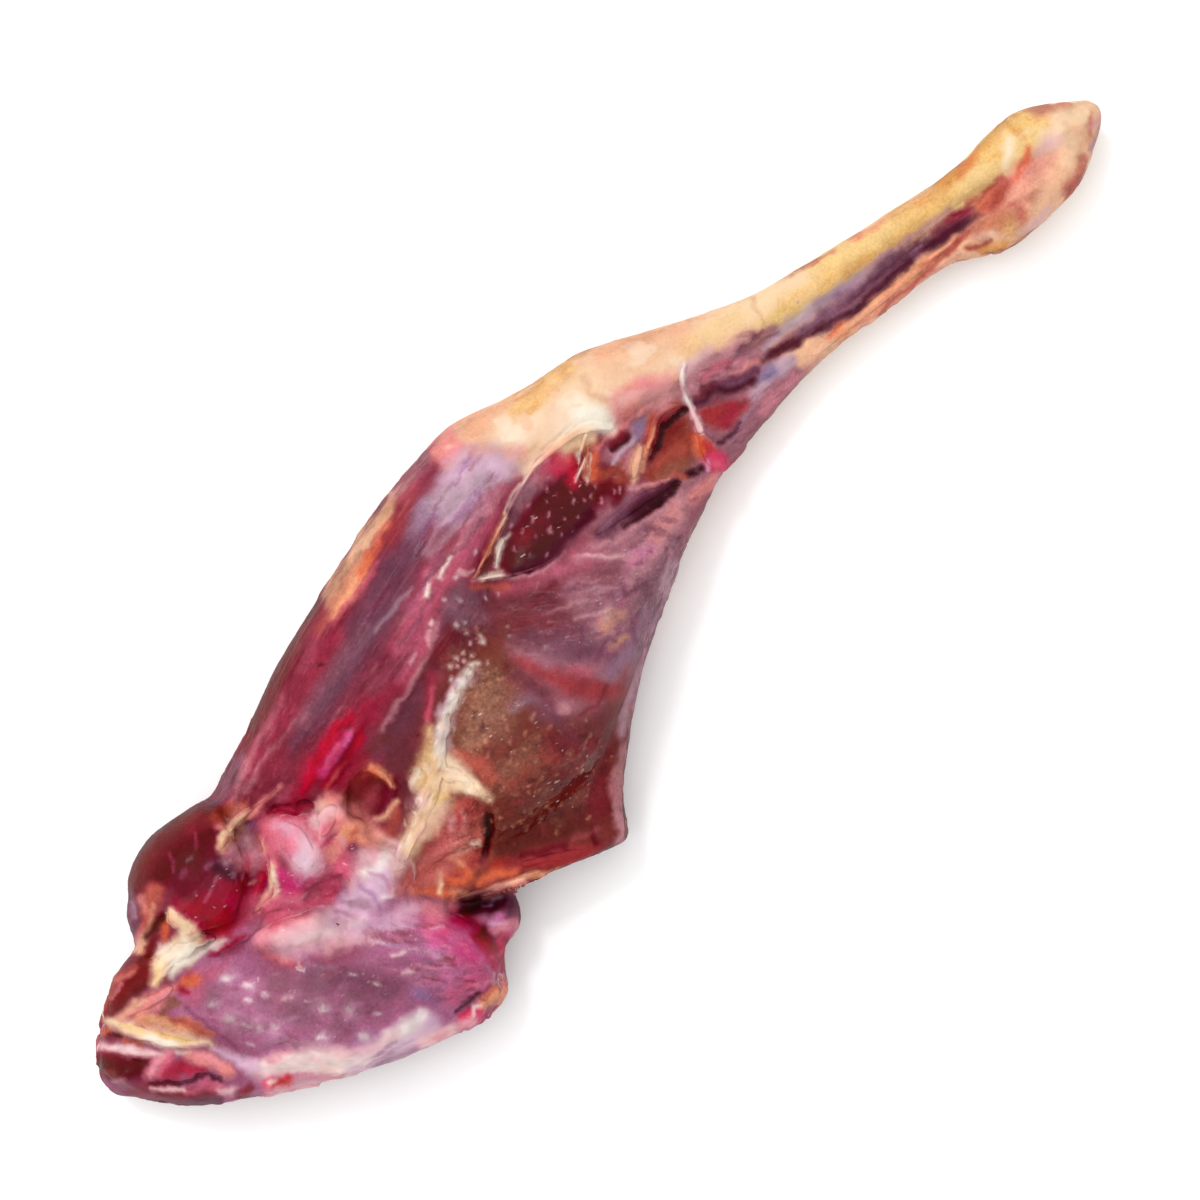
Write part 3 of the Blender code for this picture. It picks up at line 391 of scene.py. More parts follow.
THIGH = [
    ("wine", 1, 5, 0, (-150, 38, 4), (-122, 42, 8), (-100, 46, 9), (-80, 52, 8)),
    ("claret", .35, 8, 0, (-130, 44, 6), (-105, 50, 7), (-85, 57, 6)),
    ("dusk", .8, 3.5, 0, (-153, 46, 2.5), (-144, 47, 3), (-136, 50, 2)),
    ("maroon", 1, 2.5, 0, (-137, 54, 1), (-115, 60, 2), (-100, 65, 2.4), (-78, 70, 1.6)),
    ("blush", .5, 4, 0, (-98, 58, 2), (-86, 61, 3), (-76, 64, 3)),
    ("plum", 1, 6, 0, (-118, 40, 3), (-100, 43, 4), (-75, 46, 6), (-55, 54, 6), (-38, 59, 5)),
    ("dusk", .5, 4, 0, (-112, 44, 3), (-90, 48, 3), (-70, 50, 3)),
    ("wine", .7, 5, 0, (-95, 37, 3), (-78, 38, 4), (-62, 41, 3)),
    ("plum", .7, 5, 0, (-74, 54, 2), (-58, 58, 3.5), (-44, 62, 3)),
    ("violet_grey", 1, 6, 0, (-32, 64, 4), (-24, 66, 6), (-16, 62, 7)),
    # Painted highlight: the pale lilac-grey patch where the thigh's rounded top catches the light.
    ("lilac_grey", 1, 7, 0, (-16, 64, 6), (-6, 62, 9), (5, 60, 8)),
    ("lilac", .8, 5, 0, (-10, 70, 3), (2, 67, 5), (8, 58, 4)),
    ("lilac_grey", .7, 4, 0, (-34, 53, 1.6), (-20, 54, 2.6), (-8, 52, 3)),
    ("blush", .8, 5, 0, (-66, 37, 3), (-50, 42, 5), (-30, 45, 6), (-10, 48, 4), (2, 50, 2)),
    ("pink_grey", .6, 3, .2, (-40, 47, 1.4), (-20, 49, 1.8), (0, 51, 1.4)),
    ("pink", .6, 2.5, .5, (-150, 41, 1), (-137, 46.5, 1.5), (-124, 51.5, 1.5), (-110, 56, .9)),
    ("pink_grey", .5, 2, .3, (-144, 40, .8), (-128, 44, .8), (-112, 47, .5)),
    ("maroon", .4, 2, -.3, (-146, 37, .8), (-125, 41, .8), (-108, 43, .6)),
    ("rust", .7, 3, 0, (-82, 62, 2), (-70, 65, 2.6), (-62, 69, 2)),
    ("tan", 1, 3, .3, (-74, 66, 1.4), (-62, 70.5, 3), (-48, 74.5, 3.4), (-34, 77, 2.6), (-20, 79, 1.4)),
    ("peach", .8, 2.5, .3, (-56, 72.5, 1.2), (-45, 73.8, 1.6), (-36, 75, 1)),
    ("umber", .5, 1.6, -.3, (-67, 67.5, .5), (-58, 70, .7), (-52, 71.5, .5)),
    ("umber", .6, 1.6, 0, (-62, 74.5, .6), (-44, 79, .9), (-28, 81, .8), (-12, 81.5, .7)),
    ("apricot", 1, 3, .2, (-76, 61.5, 1.4), (-66, 64, 2.6), (-57, 66.5, 2.6), (-52, 69, 1.4)),
    ("orange", .9, 2.5, .2, (-57, 66, 1.2), (-51, 68.5, 2), (-44, 70, 1.2)),
    ("orange", .6, 3, 0, (-44, 71, 1.4), (-36, 73, 1.4)),
    ("claret", .4, 4, 0, (-92, 53, 1.4), (-82, 56.5, 1.3), (-72, 60, 1)),
    ("rose", .6, 2.4, .2, (-78, 59, .5), (-68, 61.5, .8), (-58, 62.5, .8), (-50, 65, .7)),
    ("brick", .8, 4, 0, (-42, 68, 1.6), (-32, 71, 2.6), (-22, 75, 2.6)),
    ("blush", .6, 3, 0, (-26, 75, 1.6), (-16, 77.5, 2)),
    ("dusk", .6, 2.5, 0, (-24, 79, 1), (-10, 79.5, 1.4)),
    ("dark_brown", .9, 1, -.5, (-94, 54, .5), (-92, 52.7, .8)),
    ("lilac_grey", .6, 1.8, .3, (-68, 47, .7), (-56, 49, .9), (-48, 50, .5)),
    ("lilac", .5, 1.6, .3, (-36, 55, .6), (-24, 58, 1), (-8, 58, .8)),
    ("violet", .5, 1.8, -.2, (-32, 60, .7), (-20, 63, .8)),
    ("plum", .6, 1.6, -.4, (-66, 38, .5), (-54, 39.8, .7), (-44, 42, .5)),
    ("plum", .6, 1.6, -.4, (-42, 47, .5), (-24, 47, .6), (-10, 50, .5)),
    # Painted highlights: white and pale pink glints on the wet thigh muscle.
    ("snow", .9, 1.4, .6, (-47, 43, .9), (-45, 44, 1), (-42, 45, .8)),
    ("snow", .8, 1.4, .6, (-37, 44.5, .8), (-34, 45, .9), (-30, 46.5, .6)),
    ("pale_pink", .7, 1.2, .3, (-31, 40, 1), (-29, 38.5, .9), (-27, 38, .5)),
    ("claret", .8, 5, 0, (-98, 29, 3.5), (-82, 30, 4), (-68, 32, 3)),
    ("blush", .8, 3.5, 0, (-74, 29, 2), (-62, 33, 2.4), (-50, 37, 2)),
    ("pink_grey", .9, 2, .4, (-92, 20, .9), (-80, 22.5, 1.2), (-70, 25.5, 1.2), (-60, 29.5, 1),
     (-50, 34, .8)),
    ("pale_pink", .8, 1.2, .4, (-67, 31, .7), (-65, 31.5, .6)),
    ("pale_pink", .6, 1.4, .4, (-60, 31.5, .6), (-54, 34, .8)),
    ("snow", .8, 1.2, .4, (-52, 35.6, .7), (-50.5, 36, .6)),
    ("liver", 1, 4, -.3, (-106, -8, 3), (-98, 6, 5), (-88, 14, 5), (-76, 18, 4), (-64, 24, 2)),
    ("plum", .6, 4, 0, (-100, 16, 3), (-84, 17, 3), (-72, 22, 2)),
    ("maroon", .6, 3, 0, (-110, -11, 1.5), (-101, 2, 2.4)),
    ("brown", .5, 3, 0, (-104, 18, 1.6), (-92, 17, 2)),
    ("plum", 1, 5, 0, (-48, 30, 4), (-38, 32, 4.5), (-30, 30, 4)),
    ("dusk", .7, 4, 0, (-42, 35, 2.5), (-34, 36, 2.5)),
    ("liver", 1, 5, 0, (-32, 24, 4), (-20, 20, 5), (-14, 12, 5)),
    ("claret", .6, 2.5, 0, (-76, 12, 1), (-70, 19, 1.8), (-62, 24, 1.6)),
    ("rose", .7, 2, .2, (-78, 11, .8), (-73, 15, 1), (-68, 19, .9)),
]

CUT_FACE = [
    ("umber", 1, 6, 0, (-74, -6, 6), (-60, -4, 10), (-50, 6, 7)),
    ("tan", .25, 6, 0, (-66, 0, 6), (-56, 4, 6)),
    ("umber", .8, 6, 0, (-74, -24, 6), (-60, -26, 6)),
    ("brown", 1, 7, 0, (-88, -36, 5), (-74, -40, 8), (-60, -40, 8)),
    ("dark_brown", .6, 6, 0, (-90, -44, 4), (-72, -50, 7), (-60, -54, 5)),
    ("maroon", .8, 6, 0, (-50, -34, 8), (-42, -42, 7), (-54, -54, 8)),
    ("liver", .6, 5, 0, (-44, -30, 5), (-32, -36, 5)),
    ("dark_brown", .5, 4, 0, (-62, -38, 4), (-50, -44, 4)),
    ("rust", .9, 4, 0, (-79, -5, 1.6), (-76, -14, 3.4), (-76, -21, 2.4)),
    ("apricot", .3, 2, 0, (-73, -7, 1.6), (-70, -10, 1)),
    ("rust_brown", .6, 5, 0, (-72, -28, 4), (-58, -31, 4)),
    ("violet_grey", .7, 4, 0, (-52, -8, 1.6), (-44, -11, 3), (-42, -18, 2.4)),
    ("plum", .6, 4, 0, (-47, -18, 4), (-44, -24, 3)),
    ("liver", 1, 4, 0, (-60, 25, 4), (-48, 26, 5), (-38, 20, 5)),
    ("maroon", .7, 3, 0, (-60, 26, 3), (-50, 27, 3)),
    ("dusk", .6, 3, 0, (-44, 28, 3), (-36, 24, 3)),
    ("brown", .5, 4, 0, (-44, 12, 3), (-42, 4, 3)),
    ("brick", .85, 4.5, .2, (-39, 4, 1.2), (-36, -6, 2.6), (-32, -16, 4), (-27, -24, 4)),
    ("brick", .7, 3, 0, (-24, -27, 3), (-20, -33, 3), (-22, -38, 2)),
    ("pink_grey", .8, 2, .3, (-40, -15, 1), (-39, -22, 1.8)),
    ("maroon", .6, 2, -.5, (-36, -27, .5), (-29, -29.5, .7), (-21, -27, .5)),
    ("rust", 1, 3, 0, (-124, -28, 3), (-112, -33, 6), (-101, -36, 6), (-93, -24, 5)),
    ("brick", .9, 4, 0, (-112, -25, 3), (-98, -22, 4), (-89, -23, 4)),
    ("rust", .5, 3, 0, (-92, -20, 2.6), (-87, -24, 2.4)),
    ("red", .9, 2.5, -.5, (-126, -26, 1.4), (-119, -29, 2), (-113, -30, 1.4)),
    ("orange", 1, 2.5, .3, (-125, -31, 1.8), (-121, -36, 2), (-118, -41, 1.2)),
    ("cream", 1, 1.8, .6, (-121, -36, .8), (-118, -34, 1.4), (-115, -33, .7)),
    ("orange", .9, 3, 0, (-114, -37, 2.4), (-108, -40, 3)),
    ("apricot", .9, 2, .5, (-108.5, -32, 1), (-106.5, -36, 1.2)),
    ("cream", .8, 1.5, .3, (-107, -31.5, .8), (-102, -32, .8)),
    ("apricot", .7, 2, .3, (-117, -40, 1.2), (-113, -44, 1.2)),
    ("red", .7, 2, -.4, (-110, -28, 1.4), (-104, -26, 1.6), (-101, -29, 1)),
    ("brick", .8, 2, -.4, (-112, -34, .8), (-110, -38, .8)),
    ("brick", .9, 2.5, 0, (-104, -38, 1.6), (-99, -37, 1.8), (-98, -33, 1)),
    ("snow", .9, 1.4, .6, (-99, -32, 1.2), (-97, -33.5, 1)),
    ("pale_pink", .5, 1.6, .4, (-101, -24, .9), (-98, -21, 1.2)),
    ("pale_pink", .5, 1.4, .4, (-95, -24, .8), (-93, -22, .7)),
    ("peach", .4, 1.4, .3, (-106, -22, .9), (-103, -20, .7)),
    ("maroon", .9, 2, -.8, (-101, -40, 1), (-95, -37, 1.2)),
    ("black_plum", 1, 1.6, -2.2, (-99, -38.5, .7), (-94, -35, 1.2), (-88, -30.5, 1.7)),
    ("apricot", 1, 2, .6, (-119, -43, 1.2), (-108, -48.5, 1.4), (-98, -53, 1.3), (-88, -58.5, .9)),
    ("orange", 1, 2.5, .3, (-106, -45, 1.4), (-100, -46, 2.4), (-95, -50, 2)),
    ("red", .6, 2, 0, (-99, -43.5, 1.4), (-94, -46, 1.4)),
    ("brick", 1, 3, 0, (-94, -47, 1.6), (-86, -53, 3), (-76, -60, 3.4), (-67, -67, 2.4)),
    ("red", .5, 2, .2, (-92, -52, 1), (-82, -59, 1.2), (-70, -66.5, 1)),
    ("cream", 1, 1.4, .7, (-114, -45.5, .5), (-106, -50, 1), (-100, -52.5, 1), (-94, -55, .7)),
    ("apricot", .8, 1.4, .4, (-92, -57, .6), (-82, -62, .6), (-72, -67, .6)),
    # Painted shade: dark wine above the flap's red rim, and a short dark stroke at its end.
    ("dark_wine", .7, 2, -.6, (-89, -49, 1), (-82, -54, 1.3), (-74, -58, 1)),
    ("dark_wine", .9, 1.4, -.8, (-64, -60, .5), (-65.5, -66, .9)),
    ("rose", .3, 2, .2, (-70, -58, 1.2), (-62, -62, 1)),
    ("pink_grey", 1, 2.4, .2, (-61, -71, 1.2), (-56, -70, 2), (-53, -64, 1.2)),
    ("pink_grey", .6, 2.4, .1, (-52, -62, 1), (-47, -56, .8)),
    ("dusk", .5, 2.5, 0, (-46, -55, 1), (-30, -43, 1), (-15, -34, 1.4)),
]

BEADS = [("white", .7, 1.3, .5, (x, y, r)) for x, y, r in (
    (-57, 18, 1.1), (-54.5, 20.5, 1), (-53, 17.5, .9), (-51, 20, 1), (-49, 17, .8), (-59, 20, .7),
    (-47, 21, .7),
    (-43, 17, 1.4), (-42, 19.5, 1), (-45, 24, .6), (-46, 28, .9), (-43, 27, .8), (-42, 38, .8),
    (-38, 33, .7),
    (-33, 40, .8), (-22, 43, .7), (-20, 40, .7), (-13, 18, .6), (-62, 16, .9), (-50, 13, .9), (-47, 11, .6),
    (-30, 3, .6), (-28, -1, .8), (-27, -4, .7), (-33, 14, .6), (-35, 10, .5), (-26, 26, .6), (-30, 28, .5),
    (-55, 12, 1.2), (-60, 12, 1.4), (-66, 11, 1.5), (-71, 9, 1.4), (-76, 6, 1.4), (-74, 4, 1), (-69, 8, 1))]
# Small pale flecks on the cut face: its beige specks, and painted highlights where its wet grain catches the
# light.
CUT_FACE_SPECKS_AND_GLINTS = [("tan", .6, 1.1, .4, (x, y, r * .7), (x + 1, y + .5, r * .4)) for x, y, r in (
    (-67, -21, 1.2), (-64, -20, .8), (-51, -16, 1), (-61, -28, .7), (-61, -33, .7), (-48, -47, .8),
    (-60, -12, .7),
    (-66, -4, .8), (-70, 0, .7), (-58, -8, .8), (-55, -3, .7), (-52, 4, .8), (-60, 4, .7), (-47, 2, .7),
    (-64, 2, .6),
    (-72, -14, .8), (-57, -18, .7), (-49, -24, .7), (-54, -24, .6), (-69, -10, .6), (-75, 0, .7),
    (-44, -4, .6),
    (-63, -16, .6), (-50, -10, .6), (-58, -38, .6), (-72, -34, .6), (-66, -46, .6), (-55, -50, .6),
    (-40, -36, .6),
    (-82, -44, .6), (-74, -52, .6), (-78, -38, .6), (-62, -56, .5), (-46, -38, .6), (-36, -30, .6))]

FAT_SEAM = [
    ("peach", .7, 4, .6, (-126, -20, 3), (-112, -17, 4)),
    ("cream", .9, 4, .6, (-124, -19, 1.6), (-118, -18, 4), (-108, -15, 4.5), (-97, -9, 6.5),
     (-88, -6, 7.5), (-85, -14, 4)),
    ("cream", 1, 2, .7, (-85, -14, 3.2), (-83, -20, 2.8), (-82, -25, 1.6)),
    ("pale_pink", .8, 3, 0, (-128, -16, 3), (-120, -14, 3)),
    ("butter", .7, 3, .8, (-94, -2, 4), (-86, 2, 3.4), (-80, 8, 2)),
    ("ivory", .5, 4, .5, (-85, -4, 3), (-83, -12, 2.6), (-84, -20, 1.6)),
    ("white", .75, 3, .5, (-82, 0, 3), (-76, 5, 3), (-68, 9.5, 2.6), (-60, 12, 2.2), (-52, 14, 1.4)),
    ("lilac", .6, 2, .3, (-73, 10.5, 1.2), (-66, 13, 1.2), (-60, 14, 1)),
    ("lilac_grey", .5, 2, 0, (-58, 10, 1.4), (-52, 10, 1.2)),
    ("honey", .5, 2.5, 0, (-97, -10, 2.6), (-92, -13, 2)),
    ("pale_pink", .8, 2, .2, (-104, -6, 1.6), (-99, -9, 1.8)),
    ("pink", .5, 2.5, 0, (-110, -18, 2), (-98, -17, 2)),
    ("ivory", .8, 1.6, .5, (-101, -3, 1.2), (-94, .5, 1.4)),
    ("tan", .5, 1.6, -.4, (-96, -5, .6), (-90, -3, .8), (-86, -7, .5)),
    ("tan", .4, 1.6, -.4, (-110, -14, .6), (-103, -13, .8)),
    ("pink_grey", .6, 1.4, -.3, (-80, -1, .6), (-75, 1.5, .7), (-70, 5, .6)),
]

FASCIA = [
    ("liver", .8, 6, 0, (-28, 8, 6), (-18, 2, 7), (-14, 12, 6)),
    ("dusk", .8, 5, 0, (-26, -6, 4), (-18, -12, 5)),
    ("fascia", 1, 6, 0, (-6, 4, 5), (5, 3, 8), (15, 2, 7)),
    ("blush", .5, 5, 0, (-2, 12, 4), (8, 10, 4)),
    ("pink_grey", 1, 5, 0, (14, -3, 3), (28, -2, 5), (44, 1, 4)),
    ("dusk", 1, 4, 0, (-12, -22, 5), (5, -17, 4), (18, -12, 3), (32, -8, 1.6)),
    ("violet_grey", .7, 3, 0, (-18, -25, 2.6), (-6, -24, 3), (8, -19, 2)),
    ("plum", .55, 6, 0, (-30, 6, 3), (-22, -8, 5), (-14, -18, 4)),
    ("liver", .5, 5, 0, (-10, 14, 3), (0, 8, 4), (8, 2, 3)),
    ("dark_mauve", .6, 3, -.4, (-18, -16, 1.6), (-8, -20, 1.8), (4, -16, 1)),
    ("dark_mauve", .6, 2.6, -.4, (-2, -10, 1.2), (6, -6, 1.6), (12, -2, 1)),
    ("plum", .6, 2.4, -.5, (-22, -12, .8), (-14, -6, 1.2), (-4, -4, .8)),
    ("rose", .35, 3, .3, (-28, -13, 1.6), (-24, -18, 2.2)),
    ("tan", .6, 3, .3, (-8, -10, 2.4), (-2, -9, 2.6), (2, -12, 1.4)),
    ("tan", .7, 2, .3, (-10, -18, 1.2), (-4, -18.5, 1.6)),
    ("orchid", .5, 3, 0, (16, 0, 3), (24, -2, 3)),
    ("salmon", .5, 3, 0, (30, 0, 2.6), (42, 1, 3)),
    ("salmon", .8, 2.5, 0, (50, -1, 2), (60, -1, 3)),
    ("pink_grey", .8, 2, .6, (1, 17, .9), (8, 11, 1.4), (13, 5, 1.2), (18, -1, .8)),
    ("pale_pink", .6, 1.4, .5, (4, 15, .5), (10, 9, .8), (15, 3, .5)),
    ("pink_grey", .7, 1.8, .5, (10, 14, .8), (18, 9, 1), (28, 7, 1), (40, 4, .7)),
    ("pink_grey", .7, 1.8, .5, (-2, 5, .7), (5, -2, 1.2), (11, -6, .8)),
    ("pale_pink", .5, 1.2, .4, (-14, -2, .4), (-6, -5, .6), (0, -7, .4)),
    ("pink_grey", .6, 1.4, .5, (-20, 8, .5), (-10, 3, .7), (-4, -2, .5)),
    ("pink_grey", .5, 1.4, .5, (-12, -12, .6), (-2, -16, .7), (8, -14, .5)),
    ("pale_pink", .6, 1.2, .5, (16, -17, .4), (24, -11.5, .6), (29, -9, .4)),
    ("plum", .6, 1.6, -.5, (-8, 8, .6), (2, 2, .8), (8, -4, .6)),
    ("plum", .6, 1.6, -.5, (6, -8, .7), (12, -10, .8), (18, -12, .5)),
    ("plum", .5, 1.6, -.5, (20, 4, .6), (32, 2, .6)),
    ("plum", .5, 1.6, -.4, (18, -15, .5), (26, -10, .6), (34, -7, .4)),
    ("plum", .6, 2, -.5, (-18, -18, 1), (-9, -14, .8)),
    ("plum", .5, 1.8, -.4, (-24, 2, .8), (-16, -4, .9), (-10, -9, .6)),
    ("maroon", .6, 2, -.5, (-22, 13, .8), (-8, 14, .9)),
    ("plum", .5, 1.4, -.4, (-4, -23, .5), (4, -14, .6)),
    ("blue_grey", .6, 1.6, 0, (0, -27, .7), (16, -19, .8), (34, -11, .6)),
    ("blush", .6, 4, 0, (-24, 26, 2.5), (-14, 20, 3), (0, 17, 3), (10, 18, 2)),
]

HOLLOW = [
    ("dark_wine", 1, 2.5, -.5, (-14, 31, 5), (0, 31, 9.5), (12, 33, 10.5), (24, 30, 8.5), (33, 25, 5)),
    ("black_plum", .3, 5, 0, (-8, 28, 3), (4, 27, 4), (16, 29, 4)),
    ("dark_plum", .9, 3, -.5, (-16, 27, 2), (-6, 23, 2.4), (6, 22, 2.4), (18, 23, 2.4)),
    ("oxblood", .5, 4, 0, (-6, 34, 3), (2, 33, 3)),
    ("rust_brown", 1, 3, -.3, (33, 29, 2.6), (40, 27, 2), (36, 24, 3)),
    ("dark_wine", .8, 2.5, 0, (32, 21, 2.5), (28, 18, 2)),
    ("dusk", .9, 3, 0, (-12, 41, 1.2), (0, 43, 1.8), (10, 44.5, 2.4), (17, 43, 2)),
    ("violet_grey", .6, 2, .2, (4, 44.5, 1), (12, 45.5, 1.2)),
    ("crimson", 1, 3, 0, (22, 43, 3), (26, 40, 4), (23, 36, 2.6)),
    ("red", .8, 2.5, .2, (24, 44, 1.6), (28, 40, 1.8), (31, 37, 1.6)),
    ("rose", .8, 2, .2, (18.5, 46, 1.5), (22, 47.5, 1.2)),
    ("orange", .9, 3, .3, (32, 34, 2.6), (29, 31, 1.8), (36, 37, 2)),
    ("orange", .9, 2.5, .2, (28.5, 46, 1.4), (33, 42.5, 2), (38, 41, 1.6)),
    ("apricot", .8, 2, .3, (34, 44, 1.2), (39, 41, 1.4)),
    ("apricot", .7, 1.2, .5, (27, 33, .4), (31, 37, .7), (36, 41, .6)),
    ("snow", 1, 1.2, .8, (29, 39, .4), (33, 41.7, .8), (38, 44.5, 1.2)),
    ("ivory", .9, 1.1, .6, (24, 35, .3), (28, 36.5, .7), (32, 38, .5)),
    ("ivory", .8, 1.1, .5, (26, 31, .3), (30, 34, .5), (35, 38, .4)),
    ("pink_grey", .9, 1.6, .7, (-29, 35, .6), (-20, 29.5, .9), (-15, 24, .7), (-8, 21, .6), (2, 19.5, .4)),
    ("rust", .9, 2, 0, (-30, 33, 1.6), (-25, 28, 1.4), (-20, 25, 1)),
    ("apricot", .9, 1.4, .6, (-28, 36, .4), (-18, 39.5, .9), (-10, 42.5, .8), (-4, 44.5, .7)),
    ("rust", .8, 1.4, 0, (-22, 39.5, .6), (-12, 43, .7), (-4, 46, .6)),
    ("brown", .9, 1.2, -.8, (-27, 35, .4), (-21, 36.5, .9), (-17, 38.5, .5)),
    ("ivory", .9, 1.4, .6, (-27, 34.5, .5), (-23, 32, 1.2), (-20, 30.5, 1)),
    ("snow", .9, 1.5, .6, (-20, 33.5, .9), (-15, 37, 1.5), (-11, 38.5, 1.1), (-8, 38.5, .5)),
    ("ivory", .8, 1.4, .6, (-9, 42.8, .3), (-3, 44.6, .5), (4, 46.6, .6), (10, 48.2, .7), (16, 49.3, .6)),
    ("peach", .7, 3, 0, (12, 50, 1), (24, 49, 1.4), (34, 48, 1.4)),
    ("fascia", 1, 2.5, 0, (40, 33, 2.5), (47, 32, 4), (56, 33, 3.5), (61, 33, 2)),
    ("violet_grey", .9, 2.5, 0, (51, 31, 2.4), (57, 33, 2.4)),
    ("blue_grey", .5, 2, 0, (53, 32, 1.6), (56, 30, 1.2)),
    ("maroon", 1, 2, -.8, (43.5, 34, 1.6), (49, 34.5, 1.8)),
    ("black_plum", .9, 1.3, -1.2, (42, 33, .6), (46, 32, .9), (50, 33.5, .5)),
    ("claret", .6, 1.4, 0, (45, 35.4, .6), (49.5, 36, .7)),
    ("salmon", .8, 1.8, .3, (38, 38, .8), (44, 37.5, .8), (52, 37, .7), (60, 34.5, .6)),
    ("lilac_grey", 1, 1.6, .4, (39, 29.5, 1), (45, 30, 1), (50, 31, .8)),
    ("rust", 1, 2.2, .4, (50, 24, 1.2), (56, 28, 2.2), (62, 31, 2), (68, 30, 1.6), (70, 27.5, 1)),
    ("brick", .7, 1.6, 0, (54, 25.5, .9), (62, 27.5, 1.2), (68, 27.5, .8)),
    ("peach", .9, 2, .5, (39, 20.5, 1.4), (44, 24, 2.6), (49, 26.5, 1.6)),
    ("apricot", 1, 1.4, .5, (44, 20.5, .6), (49, 23.5, .9), (54, 26, .7), (59, 27.6, .5)),
    ("pink_grey", .6, 1.8, .2, (40, 26, 1.2), (46, 28, 1)),
    ("salmon", .7, 1.3, .4, (56, 35, .5), (63, 33.5, .7), (70, 31, .5)),
    ("rust_brown", 1, 2.5, .3, (45, 16.5, 3), (55, 15.5, 6.4), (63, 18.5, 5.4), (67, 22, 2.6)),
    ("umber", .7, 3, 0, (48, 13.5, 2.6), (56, 11, 3)),
    ("mahogany", .6, 3, 0, (56, 21, 2), (64, 22.5, 2.4)),
    ("rust", .5, 2, .2, (50, 18, 1), (60, 16, 1.6)),
    ("black_plum", 1, 1.5, -1.8, (49, 21, .3), (55, 22.6, .8), (62, 24.8, 1), (70, 26, .8)),
    ("pink_grey", .9, 1.6, .4, (36, 19.5, 1.2), (39, 17, .8), (44, 13.5, .5)),
    ("plum", 1, 2.2, -.2, (15, 15, 2), (26, 13.5, 3.2), (36, 12.4, 3.4), (46, 9, 2.2)),
    ("dusk", .7, 2, .2, (16, 15.5, 1.2), (26, 16.5, 1.2), (33, 17, 1)),
    ("dark_plum", 1, 2.5, -.6, (31, 11.5, 2.4), (40, 9.5, 2.8), (49, 7.5, 1.8)),
    ("black_plum", 1, 1.6, -1.2, (24, 10.3, .4), (32, 8.4, .9), (40, 7, 1.4), (50, 6, 1)),
    ("salmon", .8, 1.2, .5, (38, 17, .4), (44, 13.2, .6), (50, 10, .4)),
    ("black_plum", .9, 1.6, -1, (54.5, 6.8, 1.4), (58.5, 5.8, 1.2)),
    ("rust", .9, 1.5, .3, (51, 10, 1.4), (53, 6.5, 1)),
    ("brick", 1, 2.5, -.3, (74.5, 18, 3), (79, 14, 5), (87, 11, 2)),
    ("claret", .6, 2.5, 0, (83, 12.5, 2.6), (78, 11, 2)),
    ("red", .4, 2, .2, (74, 20, 1.2), (78, 17, 1.4)),
    # Painted shade: dark plum in the crease over the red muscle.
    ("dark_plum", 1, 2.4, -.8, (73.5, 24.5, 1.3), (82, 22, 2.2), (90, 18, 2.6), (95, 14.5, 2)),
    ("maroon", .8, 1.5, -.4, (76, 25.5, .6), (84, 23, .8)),
    ("plum", .8, 2, 0, (84, 22.5, 1), (92, 20, 1.6), (98, 17, 1.4)),
    ("violet_grey", .5, 1.5, .2, (88, 20, .6), (93, 17, .7)),
    ("dark_plum", .9, 1.4, -1, (71, 7.5, .4), (76, 6.6, .7), (82, 7.6, .4)),
    ("orange", 1, 2.4, 1, (66.5, 14, 2.4), (64.5, 10, 3.6)),
    ("red", .8, 2, .4, (67, 11, 1.6), (66, 6, 2.4)),
    ("raspberry", 1, 2.4, .8, (63, 4.5, 3.2), (66.5, 3, 2.6), (64, .5, 2)),
    ("rose", .7, 1.6, .2, (61.5, 6, 1), (64, 2, 1.2)),
    ("lilac", .8, 1.3, .4, (60, 4, .7), (62.3, 5.6, .6)),
    ("white", .9, 1, .2, (82.5, 36.5, .5), (77, 33.5, .9), (73.7, 29.5, 1.1), (72, 24, 1)),
    ("pale_pink", 1, 1, .2, (72, 25, 1), (70.8, 20, 1.1), (69, 16, 1.6)),
]

# Painted highlights: small pale pink glints on the wet muscle in the hollow.
SPARKLES = [("pale_pink", .7, 1.1, .3, (x, y, r * .55), (x + r * 1.4, y + r, r * .4)) for x, y, r in (
    (-12, 40, .8), (-6, 40, .9), (-5, 36, .7), (1, 37, .9), (6, 33, 1), (2.5, 28, .8), (-4, 24, .6),
    (12, 40, .9),
    (17, 30, .9), (-11, 33, .7), (23, 26, .9), (24, 22, .8), (32, 21, 1), (30, 22, .6), (-2, 31, .5),
    (9, 37, .5),
    (14, 36, .6), (10, 28, .6), (14, 25, .5), (5, 24, .5), (19, 34, .5), (-8, 28, .5), (20, 27, .5),
    (27, 28, .5),
    (16, 42, .5), (4, 41, .5), (-14, 36, .7), (28, 31, .4))]

